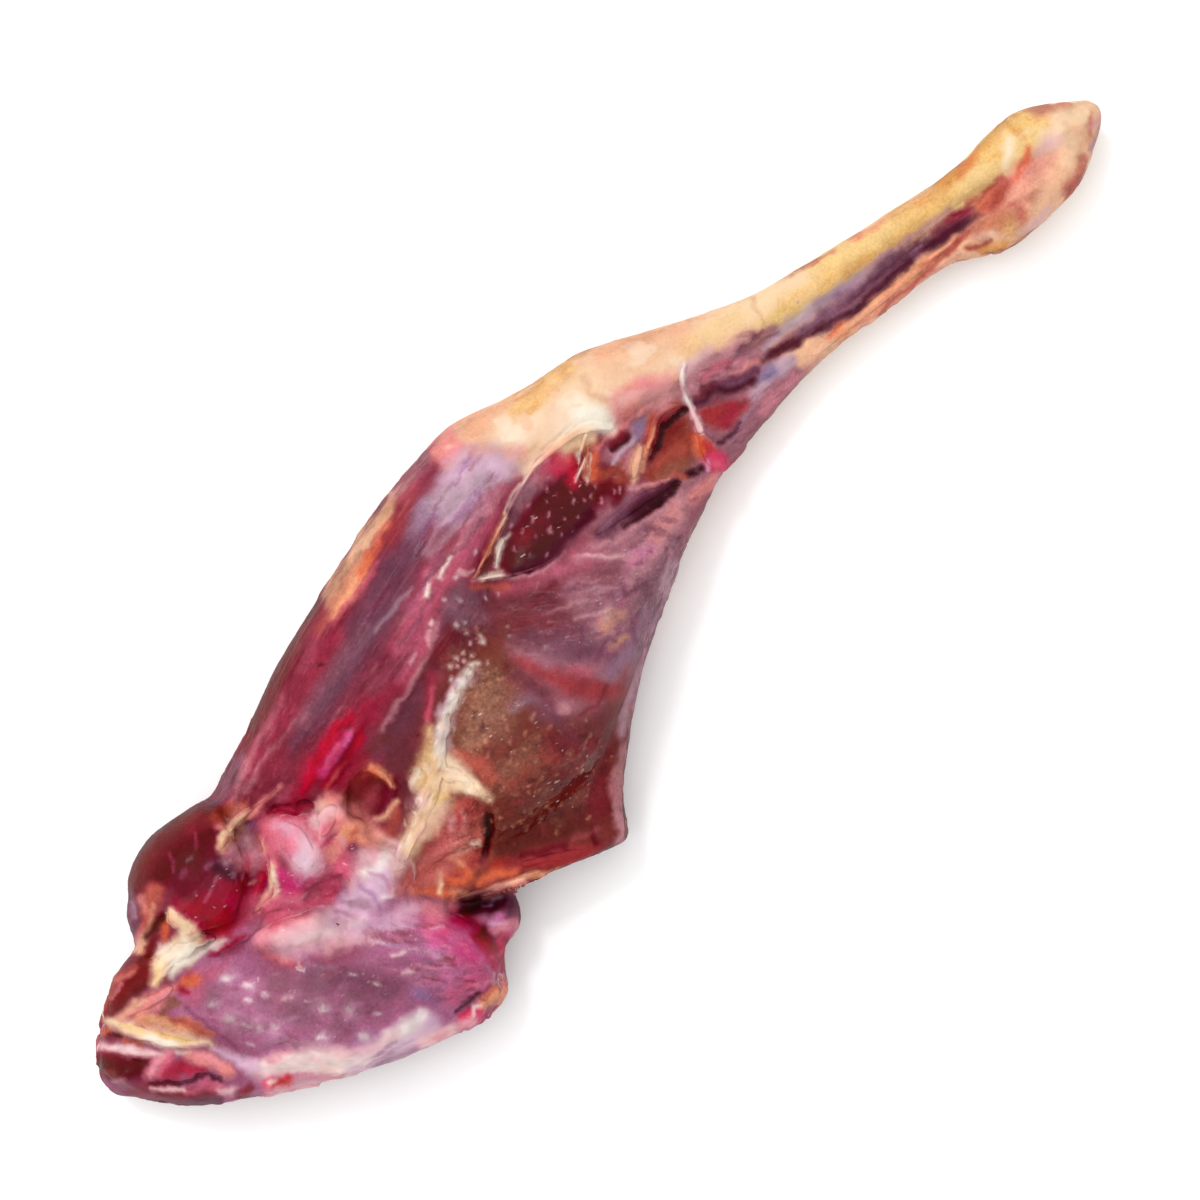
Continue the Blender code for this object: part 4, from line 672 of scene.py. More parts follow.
KNEE = [
    ("peach", 1, 4, 0, (6, 72, 12), (30, 62, 15), (60, 55, 14), (90, 42, 10)),
    ("cream", .8, 6, 0, (14, 60, 9), (40, 58, 10), (70, 50, 9), (100, 40, 8)),
    ("peach", .6, 5, 0, (60, 56, 4), (75, 50, 5), (90, 46, 3)),
    ("honey", .7, 4, 0, (26, 69, 2.5), (36, 67.5, 3), (50, 66, 2.5)),
    ("apricot", .5, 4, 0, (10, 77, 3), (24, 75, 2.5)),
    ("apricot", .6, 4, 0, (62, 62, 2), (76, 56, 2), (90, 49, 1.6)),
    ("amber", .6, 2, -.3, (29, 65, 1), (34, 66, .9)),
    ("salmon", 1, 4, .2, (-6, 78, 2.5), (0, 77, 3.8), (4, 81, 1.6)),
    ("pink", .8, 3, 0, (-6, 74, 2), (3, 73, 2)),
    ("pink_grey", .7, 4, 0, (3, 70, 3), (8, 65, 2.6)),
    ("salmon", .7, 4, 0, (12, 61, 2.5), (16, 58, 3)),
    ("snow", .6, 5, .2, (18, 63, 4), (28, 58, 5), (40, 54, 5)),
    ("snow", .9, 3.5, .3, (12, 50, 1.6), (22, 48.5, 2), (34, 50, 2.4)),
    ("snow", 1, 3.5, .5, (42, 53, 3), (45, 47, 4.6), (47, 40, 4)),
    ("apricot", .7, 3, 0, (24, 48, 1.4), (34, 47, 1.6), (39, 46, 1)),
    ("pink", .7, 5, 0, (55, 45, 4), (65, 42, 4.5), (72, 37, 3.4)),
    ("rose", .3, 4, 0, (60, 44, 3), (68, 42, 3)),
    ("salmon", .6, 4, 0, (52, 40, 2), (58, 38, 2.4)),
    ("pink_grey", .5, 3, 0, (64, 37, 2.4), (72, 34, 2.4)),
    ("amber", .5, 2, 0, (30, 71.5, .9), (40, 69.5, 1), (52, 67, 1), (60, 66, .8)),
    ("tan", .5, 1.2, -.4, (22, 51, .4), (31, 51.5, .5), (38, 51.2, .3)),
    ("tan", .4, 2.5, -.3, (52, 60, 1), (49, 54, 1.2), (52, 48, 1)),
    ("tan", .4, 2, -.2, (12, 55, 1), (22, 54, .8)),
]

SHANK = [
    ("peach", 1, 4, 0, (92, 42, 9), (118, 33, 8), (118, 8, 9), (150, 2, 8), (190, -4, 9)),
    ("butter", 1, 3.5, 0, (118, 29, 8), (150, 21, 8), (200, 11, 8)),
    ("cream", .9, 5, 0, (96, 40, 5), (116, 33, 5), (135, 30, 4)),
    ("butter", .5, 3, 0, (88, 40, 4), (108, 35, 4)),
    ("honey", .8, 4, 0, (124, 27, 2), (134, 23, 3), (148, 20, 3), (160, 17, 2.4)),
    ("amber", .5, 3, 0, (149, 19, 1.2), (156, 17, 1.6), (163, 15, 1)),
    ("butter", .8, 4, .2, (150, 24, 2.5), (168, 19, 3), (188, 15, 3)),
    ("honey", .8, 3, 0, (166, 15, 1.6), (182, 14, 2.4), (200, 12, 2.4)),
    ("amber", .4, 2.5, 0, (186, 18, 1.2), (200, 15, 1.6)),
    ("amber", .7, 2, 0, (85, 53.5, 1), (95, 48.5, 1.1)),
    ("lilac_grey", .6, 2, 0, (102, 45, .9), (114, 40.5, 1.1), (126, 37, 1), (134, 35, .7)),
    ("rust", .9, 2, 0, (132, 33.5, .7), (142, 31.5, 1.4), (152, 29, 1.4), (162, 26, .8)),
    ("apricot", .8, 2, 0, (160, 26, 1.2), (178, 22, 1.5), (196, 19, 1.3)),
    ("tan", .4, 1.4, -.4, (117.5, 37, .5), (115.5, 31, .7), (114, 26, .5)),
    ("pink_grey", 1, 3.5, .2, (76, 31, 3), (90, 29.5, 3.4), (104, 25, 4), (114, 22, 2.6)),
    ("lilac", .6, 3, .1, (80, 35, 2), (92, 34, 1.6)),
    ("rose", .6, 2.4, .2, (82, 27.5, 1.2), (92, 27, 1.6), (99, 24, 1.2)),
    ("fascia", .8, 2.5, 0, (100, 25, 2), (108, 24.5, 2.2), (116, 23, 1.2)),
    ("plum", .6, 1.4, -.5, (92, 25.5, .5), (102, 26, .7), (112, 25, .5)),
    ("salmon", .7, 1.6, .4, (92, 22.5, .7), (99, 20.4, 1), (104, 18, .7)),
    ("fascia", 1, 2.5, 0, (72, 3, 2.6), (88, 4, 3.6), (104, 5, 4), (112, 6, 3)),
    ("pink", .5, 2.5, 0, (90, 4, 2), (108, 4, 2)),
    ("violet_grey", .6, 1.8, 0, (74, 6, 1), (88, 8, 1.2)),
    ("lilac_grey", 1, 3, .1, (92, 10.5, 2), (104, 12, 3.4), (112, 10, 2.4)),
    ("blue_grey", .8, 3, .1, (98.5, 13, 2), (103, 12.4, 2.6)),
    ("plum", 1, 1.8, -.5, (95, 18.5, .9), (99, 16.5, 1)),
    ("lilac_grey", 1, 2.4, .1, (108, 20.5, 1), (122, 19.8, 2.4), (135, 17.3, 2.4), (150, 14.5, 1.8),
     (165, 12, 1.2)),
    ("ivory", .4, 2, 0, (118, 21, 1.2), (130, 19.5, 1.2)),
    ("violet", .35, 2, 0, (140, 15, 1.4), (150, 13, 1.4)),
    ("pink_grey", .8, 1.8, 0, (156, 13, 1), (175, 11, 1.2), (192, 9, 1)),
    ("plum", 1, 2, -.3, (107, 17, 1.2), (120, 14, 2.6), (134, 12, 3), (150, 9, 3.4), (170, 6.5, 3.6),
     (185, 4.5, 3.6),
     (197, 1, 2.6)),
    ("dark_plum", .8, 1.8, -.8, (104, 17.5, .8), (112, 15.5, 1.6), (120, 12.5, 2)),
    ("fascia", .5, 1.6, .2, (112, 17.5, .5), (120, 16, .8), (128, 15, .5)),
    ("dark_plum", .9, 2, -.6, (123, 12, 1.2), (134, 8.5, 1.5), (150, 6, 1.4), (168, 4, 1.4)),
    ("dark_plum", .8, 1.6, -.4, (150, 11, .8), (162, 9.5, 1.1), (174, 7.6, 1)),
    ("dark_plum", .9, 2.4, -.3, (176, 4.5, 2), (188, 2, 2.2), (200, -1.5, 1.2)),
    ("violet_grey", .5, 1.3, .3, (138, 9.5, .5), (154, 8, .6), (168, 6.6, .6), (177, 5.5, .4)),
    ("violet_grey", .6, 3, .2, (122, 16, .8), (140, 13, 1.2), (156, 11, 1.2), (172, 9, 1)),
    ("fascia", .55, 1.8, .2, (132, 11, .5), (146, 8.5, .7), (160, 7.5, .6)),
    ("plum", .6, 2, .1, (124, 9.5, 1), (140, 6, 1), (156, 4, .8)),
    ("lilac_grey", .5, 1.2, .2, (170, 6.4, .4), (175, 5.9, .5)),
    ("wine", .9, 2.5, 0, (182, 7, 1.4), (192, 5, 2), (199, 3, 1.2)),
    ("oxblood", .6, 1.8, 0, (189, 5.4, 1.2), (196, 3.6, 1)),
    ("peach", 1, 2.4, .3, (114, 6.5, 2), (121, 8.5, 3), (127, 5.5, 2.2)),
    ("pink_grey", .6, 2, 0, (102, 2.6, 1), (120, 3.2, 1)),
    ("apricot", 1, 2.2, .3, (130, 4.5, 2), (145, 3, 2), (158, 1.4, 2), (172, .4, 1.6), (186, -1, 1)),
    ("salmon", .5, 2, 0, (138, 2, 1), (156, -.4, 1.2)),
    ("orange", .8, 1.6, 0, (128.5, 6, 1), (135, 6.6, .6)),
    ("cream", .4, 1.5, .2, (136, 4.4, .6), (150, 2.6, .7)),
    ("rust", .9, 1.6, 0, (146, -.6, .6), (160, -2.2, 1), (176, -2.6, 1.2), (192, -3, 1.4), (204, -3, 1.2)),
    ("brick", .6, 1.4, -.3, (172, 0, .5), (184, -1.6, .7), (196, -2.6, .6)),
    ("salmon", .7, 1.6, 0, (150, -2, .6), (168, -4.4, .8), (182, -6.4, .8)),
    ("peach", .9, 1.8, .3, (176, -4.6, 1), (186, -5.4, 1.2)),
]

HOCK = [
    ("peach", 1, 4, 0, (198, -10, 9), (216, -12, 9), (234, -10, 11), (250, -3, 11)),
    ("butter", 1, 3.5, 0, (205, 10, 8), (232, 9, 9)),
    ("cream", .9, 4, 0, (238, 0, 5), (247, 2, 5), (252, -3, 4)),
    ("amber", 1, 4, 0, (198, 16.5, 2), (212, 16, 2.8), (222, 17, 2.4), (234, 17, 2)),
    ("orange", .4, 3, 0, (203, 15, 1.6), (213, 14.5, 1.8)),
    ("butter", 1, 3, .3, (213, 8, 2.5), (224, 9.5, 3.5), (232, 10, 4), (238, 9, 3)),
    ("honey", .9, 2.4, -.3, (218, 10, 1.4), (221, 9, 1.4)),
    ("amber", .7, 2, -.3, (228.5, 14.5, 1.2), (230, 10, 1.6), (229.6, 6.6, 1)),
    ("honey", .6, 3, 0, (236, 13, 2), (240, 9, 2), (241, 5, 1.6)),
    ("ivory", .8, 3, .4, (226, 11, 1.6), (223, 7, 1.8), (219, 5, 1)),
    ("ivory", .6, 1.8, .3, (226, 12.4, 1), (225, 10, 1)),
    ("rust", .9, 2.2, 0, (239, 14.4, 1), (245, 10.5, 1.4), (250.5, 6, 1.4)),
    ("fascia", .6, 1.8, 0, (243, 12, .9), (248, 8, .9)),
    ("cream", .6, 2, .2, (247, 6, 1.2), (252, 2, 1.4)),
    ("salmon", .9, 3, 0, (203, 1, 2.4), (215, 1, 3), (225, -1, 2.6)),
    ("orange", .7, 3, 0, (202, 2, 2), (210, 1, 2)),
    ("rust", .8, 1.8, 0, (198, 5, .9), (208, 4, 1), (216, 3.2, .8)),
    ("rust", 1, 2.4, -.4, (204, -2, 1.6), (210, -.6, 2.2), (216, 1, 1.2)),
    ("orange", .9, 2, -.3, (219, 0, 1), (224, 0, 1.6), (228, 2.6, 1)),
    ("tan", .8, 3, 0, (194, -6, 2), (203, -8, 3), (203, -13, 3)),
    ("honey", .6, 2.5, 0, (198, -6, 1.6), (205, -9, 2.4), (202, -12, 2.4)),
    ("ivory", .8, 2.4, .4, (192.5, -6.6, 1.2), (197, -9.4, 1)),
    ("rust_brown", .9, 1.8, -.6, (186, -7.6, .9), (190.5, -10.5, 1.3), (195, -11.2, .8)),
    ("amber", .8, 2.5, 0, (190, -12, 1.6), (197, -16, 1.8)),
    ("rust", .7, 2, 0, (189, -14, .8), (196, -17.5, .9), (206, -19.4, .8)),
    ("salmon", .9, 3.5, 0, (213, -6, 3), (224, -6, 3.4)),
    ("rust", .75, 3.4, -.3, (208.5, -12.5, 2.2), (211, -9, 2.2), (218, -10, 1)),
    ("brick", .5, 1.6, -.5, (209, -6, .7), (215, -8.6, .9), (221, -10.6, .5)),
    ("salmon", .8, 4, 0, (222, -4, 2.4), (230, -5, 2.4)),
    ("pink", .6, 3, -.2, (225, -6, .9), (231, -6, 1.1), (235, -5.2, .5)),
    ("pale_pink", .8, 3.5, 0, (231, -1, 2.5), (238, -2, 2.8)),
    ("cream", .7, 3, .1, (236, -10, 2.4), (242, -7, 2.4)),
    ("lilac", .5, 2, .1, (205, -17.5, 1.2), (218, -17.8, 1.4)),
    ("rust", .8, 3, 0, (229, -17.5, 2), (235, -17, 1.5), (240, -15, .7)),
    ("maroon", .5, 1.8, 0, (228, -19, .8), (236, -18, .7)),
    ("tan", .7, 2, -.3, (244, -14, .8), (250, -7, .8), (255, -4.6, 1)),
    ("rust", .5, 1.6, -.2, (248, -10, .5), (253, -5.4, .7)),
    ("violet_grey", .7, 1.8, 0, (244, -14, .8), (252, -11, 1)),
    ("pink_grey", .6, 2.2, 0, (251, -8, 1.4), (256, -8.5, 1.2)),
]

GLAZES = [
    ("salmon", .75, 5, 0, (-128, -28, 4), (-112, -29, 5), (-98, -28, 4)),
    ("cream", .6, 4, 0, (-108, -19, 3), (-96, -16, 3)),
    ("pink", .6, 4, 0, (-128, -41, 4), (-122, -43, 3)),
    ("salmon", .7, 2.5, .2, (-108, -50, 1.5), (-95, -56, 1.5)),
    ("liver", .75, 3, 0, (-105, -7, 2.4), (-101, 0, 2)),
    ("brick", .75, 5, 0, (-113, 8, 4), (-112, 19, 3)),
    ("claret", .9, 4, 0, (-118, 18, 3), (-106, 19, 3.4)),
    ("liver", .75, 4, 0, (-42, -2, 3), (-41, -16, 3)),
    ("pink_grey", .75, 3, 0, (-56, -67, 2), (-46, -58, 2), (-34, -47, 2)),
    ("pink_grey", .75, 3, 0, (-28, 79, 1.5), (-12, 80, 2.4)),
    ("maroon", .7, 5, 0, (-132, 53, 3), (-108, 60, 3), (-88, 66, 4), (-74, 70, 2)),
    ("dusk", .4, 5, 0, (-84, 33, 3), (-68, 33, 3)),
    ("peach", .9, 3, .2, (28, 45, 2.4), (37, 43, 3)),
    ("snow", .7, 4, .3, (42, 47, 5), (46, 43, 4)),
    ("peach", .5, 5, 0, (24, 58, 4), (38, 57, 4)),
    ("rose", .6, 4, 0, (14, 45, 3), (25, 43, 3)),
    ("pink_grey", .7, 3, 0, (2, 44, 2), (14, 46, 1.5)),
    ("pink_grey", .75, 3, 0, (64, 32, 2.4), (74, 31, 2)),
    ("lilac_grey", .7, 3, 0, (-30, -42, 2), (0, -27, 2), (26, -13, 2)),
    ("amber", .6, 5, 0, (176, 21, 2), (200, 17, 2)),
    ("tan", .55, 2.5, 0, (120, 37, 1.2), (150, 30, 1.2), (180, 22.5, 1.2), (210, 18.5, 1.2),
     (234, 17, 1.2)),
    ("dark_brown", .4, 3, 0, (104, 17.5, 1.2), (118, 14.5, 1.6), (132, 11.5, 1.2)),
    ("rust", .55, 5, 0, (194, -6, 3), (206, -6, 4)),
    ("rust", .45, 4, 0, (199, 1, 2.4), (213, 0, 2.4)),
    ("honey", .5, 3, 0, (213, 13, 2), (224, 13, 2), (237, 11.5, 2)),
    ("tan", .8, 3.5, 0, (242, 11, 3), (252, 5, 3)),
    ("peach", .55, 5, 0, (214, -8, 3), (226, -9, 4), (236, -7, 3)),
    ("tan", .4, 5, 0, (216, -5, 4), (230, -5, 4)),
    ("dark_mauve", .6, 5, 0, (-185, -4, 4), (-184, -17, 5)),
    ("wine", .25, 5, 0, (-184, -16, 4), (-188, -26, 4)),
    ("pale_pink", .8, 3, 0, (-216, -46, 2), (-206, -54, 3), (-196, -60, 2)),
    ("pale_pink", .7, 4, 0, (-206, -37, 2), (-198, -43, 3), (-190, -55, 3), (-180, -60, 3), (-168, -63, 2)),
    ("white", .5, 2, .3, (-203, -40, 1), (-196, -47, 1.4), (-191, -56, 1.6), (-182, -61, 1.6)),
    ("pale_pink", .6, 5, .3, (-174, -12, 4), (-163, -19, 4), (-153, -24, 4)),
    ("lilac", .75, 5, 0, (-152, -26, 3), (-142, -31, 4), (-133, -34, 3)),
    ("white", .4, 3, .2, (-170, -12, 1.4), (-160, -19, 1.8), (-148, -24, 1.6)),
    ("orchid", .6, 4, 0, (-128, -53, 3), (-123, -55, 2.4)),
    ("pale_pink", .7, 3, 0, (-152, -76, 2), (-144, -79, 2)),
    ("salmon", .7, 3, 0, (-128, -78, 2), (-122, -74, 1.5)),
    ("pink", .75, 3, 0, (-116, -63, 2), (-108, -66, 2)),
    ("rose", .6, 4, 0, (-176, 8, 3), (-167, 5, 3)),
    ("pink", .7, 4, 0, (-164, 20, 3.4), (-158, 19, 4)),
    ("rose", .7, 5, 0, (-150, 22, 3.4), (-147, 15, 4.4)),
    ("salmon", .75, 4, 0, (-128, 8, 3), (-121, 5, 4), (-123, -6, 4)),
    ("peach", .4, 4, 0, (-122, -3, 3), (-121, -9, 3)),
    ("maroon", .5, 4, 0, (-164, 44, 3), (-156, 42, 3)),
    ("violet_grey", .5, 2.5, 0, (122, 14.5, 1.4), (136, 11.5, 1.4)),
    ("maroon", .5, 5, 0, (-28, 12, 4), (-22, 6, 4)),
    ("mahogany", .5, 5, 0, (-54, -41, 4), (-48, -42, 4)),
    ("liver", .5, 4, 0, (0, 18.5, 2), (14, 17.5, 2)),
    ("dusk", .5, 5, 0, (-42, 31, 4), (-37, 31, 4)),
    ("tan", .4, 3, 0, (72, 58, 2), (90, 51, 2)),
    ("cream", .7, 3, 0, (30, 46, 2), (38, 44, 3)),
    ("rust", .35, 4, 0, (243, 11, 2.5), (251, 6, 2.5)),
]

GROUNDS = [
    ("wine", 1, 6, 0, (-165, 38, 26), (-100, 45, 34), (-30, 55, 34), (0, 60, 26)),
    ("mauve", 1, 6, 0, (-225, -12, 24), (-190, -30, 46), (-140, -45, 40)),
    ("brown", 1, 6, 0, (-102, -30, 22), (-60, -25, 46), (-40, 0, 26)),
    ("fascia", 1, 8, 0, (-24, -10, 22), (10, 2, 24), (50, 6, 12)),
    ("fascia", 1, 4, 0, (60, 10, 12), (110, 10, 10)),
    ("peach", 1, 4, 0, (70, 48, 16), (110, 32, 18), (150, 16, 20), (200, 4, 26), (240, 0, 26)),
    ("fascia", 1, 3, 0, (80, 18, 14), (108, 15, 9)),
]
STROKES = (
    GROUNDS + KNEE + THIGH + CUT_FACE + CUT_FACE_SPECKS_AND_GLINTS + FAT_SEAM + BEADS + FASCIA + SHANK + HOLLOW + SPARKLES
    + HOCK + RUMP_EYE + SHEEN + GLINTS + MEMBRANES + RED_LOBE + RUMP_END + HIP + GLAZES
)


# Where each kind of surface lies, in the same way: cover, softness, (x, y, half width)...
REGIONS = {
    "thigh_grain": [(1, 14, (-150, 44, 10), (-110, 46, 18), (-60, 52, 22), (-10, 60, 18)),
                    (.8, 8, (-70, 26, 5), (-30, 30, 6))],
    "rump_grain": [(1, 8, (-146, -36, 8), (-136, -56, 12), (-136, -72, 8))],
    "fascia_grain": [(1, 10, (-26, 8, 12), (0, -8, 16), (30, -2, 10), (60, 4, 5)), (.8, 6, (80, 28, 6),
                     (112, 22, 6))],
    "shank_grain": [(1, 6, (75, 5, 4), (110, 10, 7), (150, 6, 7), (200, 2, 6)), (.6, 6, (50, 16, 8),
                    (85, 16, 6))],
    "cut_face": [(1, 6, (-72, -8, 5), (-60, -2, 10), (-50, 4, 8)), (1, 8, (-98, -30, 8), (-70, -34, 18),
                 (-52, -40, 16)),
                 (1, 5, (-56, 22, 5), (-40, 22, 5))],
    "bumps": [(1, 8, (-206, -12, 10), (-192, -26, 14), (-170, -42, 14)), (.7, 6, (-150, -20, 8),
              (-140, -66, 10))],
    "wet": [(1, 8, (-205, -15, 10), (-180, -35, 18), (-145, -45, 16)), (1, 6, (-60, 0, 12), (-60, -35, 18)),
            (1, 4, (-10, 31, 6), (20, 32, 9)), (.8, 6, (-60, 40, 6), (-25, 42, 6)), (.9, 6, (-170, 0, 8),
            (-140, -5, 12)),
            (.7, 6, (-190, 20, 8), (-170, 20, 8)), (.5, 8, (-20, -5, 14), (20, 0, 10))],
    "bone": [(1, 6, (108, 32, 7), (150, 21, 7), (205, 10, 8), (232, 9, 8))],
    "knee_fat": [(1, 8, (0, 72, 7), (30, 60, 11), (60, 52, 10), (100, 40, 8))],
    "hip_film": [(1, 6, (-160, 4, 8), (-140, 0, 10)), (.9, 5, (-196, 22, 5), (-166, 22, 7), (-146, 20, 7))],
    "seam": [(1, 4, (-120, -17, 3), (-100, -8, 5), (-86, -2, 6), (-70, 8, 3.6), (-52, 14, 2)),
             (1, 3, (-84, -12, 2), (-84, -22, 2))],
    "hollow": [(1, 3, (-8, 32, 5), (20, 33, 8))],
    # sheen: where the thigh's painted highlight and painted glints lie.
    "sheen": [(1, 6, (-30, 58, 5), (0, 62, 8)), (.7, 5, (-60, 46, 3), (-20, 48, 4))],
}

# How each region is broken up: tissue, region, cover, size in millimetres, heading, how many times longer
# than wide, how rare it is from -1 to 1, and the seed.
MOTTLES = (
    ("lilac_grey", "bumps", .3, 5, -40, 1.8, .3, 801),
    ("wine", "bumps", .45, 5, -40, 2, .3, 807),
    ("dusk", "bumps", .5, 7, -40, 1.5, .1, 813),
    ("plum", "bumps", .45, 8, -40, 1.4, .15, 815),
    ("orchid", "bumps", .2, 7, -30, 1.3, .2, 817),
    ("tan", "cut_face", .5, 2, 10, 1.3, .4, 819),
    ("umber", "cut_face", .4, 4, 20, 1.3, .1, 821),
    ("dark_brown", "cut_face", .5, 3.4, 40, 1.3, .25, 825),
    ("brick", "cut_face", .35, 6, 60, 1.5, .3, 831),
    ("pink_grey", "thigh_grain", .26, 2.4, 12, 8, .35, 837),
    ("dark_wine", "thigh_grain", .26, 3, 12, 7, .25, 843),
    # Painted sheen: pale pink and violet streaks over the thigh's highlight.
    ("pale_pink", "sheen", .4, 1.6, 8, 5, .55, 849),
    ("violet", "sheen", .45, 3, 8, 5, .2, 855),
    ("pink_grey", "fascia_grain", .4, 1.8, -45, 5, .4, 861),
    ("plum", "fascia_grain", .45, 3, -30, 2.6, .2, 867),
    ("lilac_grey", "fascia_grain", .35, 4, -20, 1.6, .4, 869),
    ("snow", "seam", .6, 2, 20, 1.2, .25, 871),
    ("umber", "seam", .45, 1.6, 20, 1.4, .5, 872),
    ("tan", "seam", .4, 3, 20, 1.4, .3, 874),
    ("dark_plum", "hollow", .4, 4, 20, 1.6, .2, 876),
    ("pink", "rump_grain", .4, 1.8, -58, 6, .35, 873),
    ("maroon", "rump_grain", .45, 2.2, -58, 6, .25, 879),
    ("lilac", "hip_film", .35, 2.4, 20, 2.4, .35, 885),
    ("raspberry", "hip_film", .35, 3.4, 20, 2.4, .25, 891),
    ("ivory", "knee_fat", .45, 7, -25, 1.6, .2, 897),
    ("apricot", "knee_fat", .3, 5, -30, 1.8, .35, 903),
    ("honey", "bone", .35, 6, -14, 4, .2, 909),
    ("cream", "bone", .4, 4, -14, 5, .3, 915),
    ("dark_plum", "shank_grain", .3, 1.5, -9, 14, .3, 921),
)

# How soft the edges of the strokes are, as a share of what each one asks for and of its own half width.
EDGE_SOFTNESS = 1.15
WIDE_SOFTNESS = 0.35

# Noise: how many random values it is made from and how they are spread over its cells, how much weaker each
# finer layer is, and how strong all layers are together.
NOISE_VALUES = 4096
NOISE_STEPS = (73, 1249, 3571)
LAYER_FADE = 1.8
NOISE_STRENGTH = 1.6

# Sizes in millimetres of the slow and quick wandering of edges, and of the broad one on steep sides.
SLOW_WANDER = 12
QUICK_WANDER = 3
BROAD_WANDER = 17

# How far the colours of the steep sides wander, how far further in they come from, in millimetres, and below
# which upward part of its normal a side counts as steep.
SIDE_WANDER = 9
SIDE_INWARD = 4
SIDE_SLOPE = 0.42

# How soft the patches of a mottle are, how uneven the tone is, as share, size and seed, and how much calmer
# it is on bone and smooth fat.
PATCH_SOFTNESS = 0.45
TONE_NOISE = ((0.06, 6, 951), (0.05, 2.4, 961))
CALM_SHARE = 0.7

# Painted shade: how much darker the lean meat is painted where it falls away steeply.
STEEP_PAINTED_SHADE = 0.2

# From which paleness on a colour is no longer lean, and from which it is fat, each with the range it takes.
LEAN_PALENESS = (0.36, 0.2)
FAT_PALENESS = (0.42, 0.26)

# How far round the sides the upper side's colours reach, how ragged that edge is, and how soft.
UPPER_REACH = 0.36
UPPER_RAGGED = 0.26
UPPER_SOFTNESS = 0.4

# The height of each grain in millimetres: region, height, heading, length, width and seed.
GRAINS = (
    ("thigh_grain", 0.34, 11, 34, 2.6, 551),
    ("rump_grain", 0.34, -58, 22, 2.6, 561),
    ("fascia_grain", 0.42, -24, 18, 2.8, 571),
    ("shank_grain", 0.3, -8, 40, 2.0, 581),
    ("bone", 0.12, -13, 60, 5.0, 591),
)

# How much white gloss a level and a sloping lit point show, how steep a sloping one is, and how much of its
# own colour each shows, so that they end up as in the picture.
GLOSS_SHARE = 0.009
SLOPE_GLOSS_SHARE = 0.016
SLOPE_START = 0.85
SLOPE_RANGE = 0.5
LIGHT_SHARE = 1.24

# Thinning the mesh: how fast a colour changes where no point can be spared, the least share that can, how far
# that spreads to the points round it, and in how many steps it is stored.
SHARP_CHANGE = 0.05
LEAST_SPARE = 0.12
SPARE_SPREAD = 0.8
SPARE_STEPS = 8


def lattice_noise(points, size, seed):
    """Smooth values from -1 to 1 that change over this size."""
    table = np.random.default_rng(seed).uniform(-1, 1, NOISE_VALUES)
    scaled = points / size
    cell = np.floor(scaled).astype(np.int64)
    part = scaled - cell
    part = part * part * (3 - 2 * part)
    steps = np.array(NOISE_STEPS[: points.shape[1]])
    total = np.zeros(len(points))
    for corner in np.ndindex(*(2,) * points.shape[1]):
        share = np.prod(np.where(np.array(corner) == 1, part, 1 - part), axis=1)
        total += share * table[(cell + corner) @ steps % NOISE_VALUES]
    return total


def fine_noise(points, size, seed, layers=3):
    """Noise of several sizes, each layer half as large and weaker than the last."""
    total = np.zeros(len(points))
    weight = 0
    for layer in range(layers):
        total += lattice_noise(points, size / 2**layer, seed + layer) / LAYER_FADE**layer
        weight += 1 / LAYER_FADE**layer
    return total / weight * NOISE_STRENGTH


def noise_pair(points, size, *seeds):
    return np.stack([fine_noise(points, size, seed) for seed in seeds], axis=1)


def stretched_noise(points, heading, length, width, seed):
    """Noise in long grains that run at this heading in degrees, seen from above."""
    along = np.array([math.cos(math.radians(heading)), math.sin(math.radians(heading)), 0])
    across = np.array([-along[1], along[0], 0])
    turned = np.stack([points @ along / length, points @ across / width, points[:, 2] / (width * 2)], axis=1)
    return fine_noise(turned, 1.0, seed)


def smooth(value):
    value = np.clip(value, 0, 1)
    return value * value * (3 - 2 * value)


def ramp(value, start, width):
    """0 up to the start, 1 from start and width on, and smooth between."""
    return smooth((value - start) / width)


def sorted_plan(plan):
    """The points in order of x, so that a stroke finds those near it quickly."""
    order = np.argsort(plan[:, 0])
    return plan, order, plan[order, 0]


def brush(sorted_points, softness, path):
    """The points that a stroke along this path can reach, and how much of it lies on each."""
    plan, order, ordered_x = sorted_points
    path = np.array(path, float)
    reach = path[:, 2].max() + softness + 2
    low = path[:, :2].min(axis=0) - reach
    high = path[:, :2].max(axis=0) + reach
    first, last = np.searchsorted(ordered_x, (low[0], high[0]))
    near = order[first:last]
    near = near[(plan[near, 1] > low[1]) & (plan[near, 1] < high[1])]
    here = plan[near]
    away = np.full(len(near), np.inf)
    starts, ends = (path[:-1], path[1:]) if len(path) > 1 else (path, path)
    for start, end in zip(starts, ends):
        run = end[:2] - start[:2]
        share = np.clip((here - start[:2]) @ run / max(run @ run, 1e-9), 0, 1)
        middle = start + share[:, None] * (end - start)
        away = np.minimum(away, np.hypot(*(here - middle[:, :2]).T) - middle[:, 2])
    return near, smooth(0.5 - away / softness)


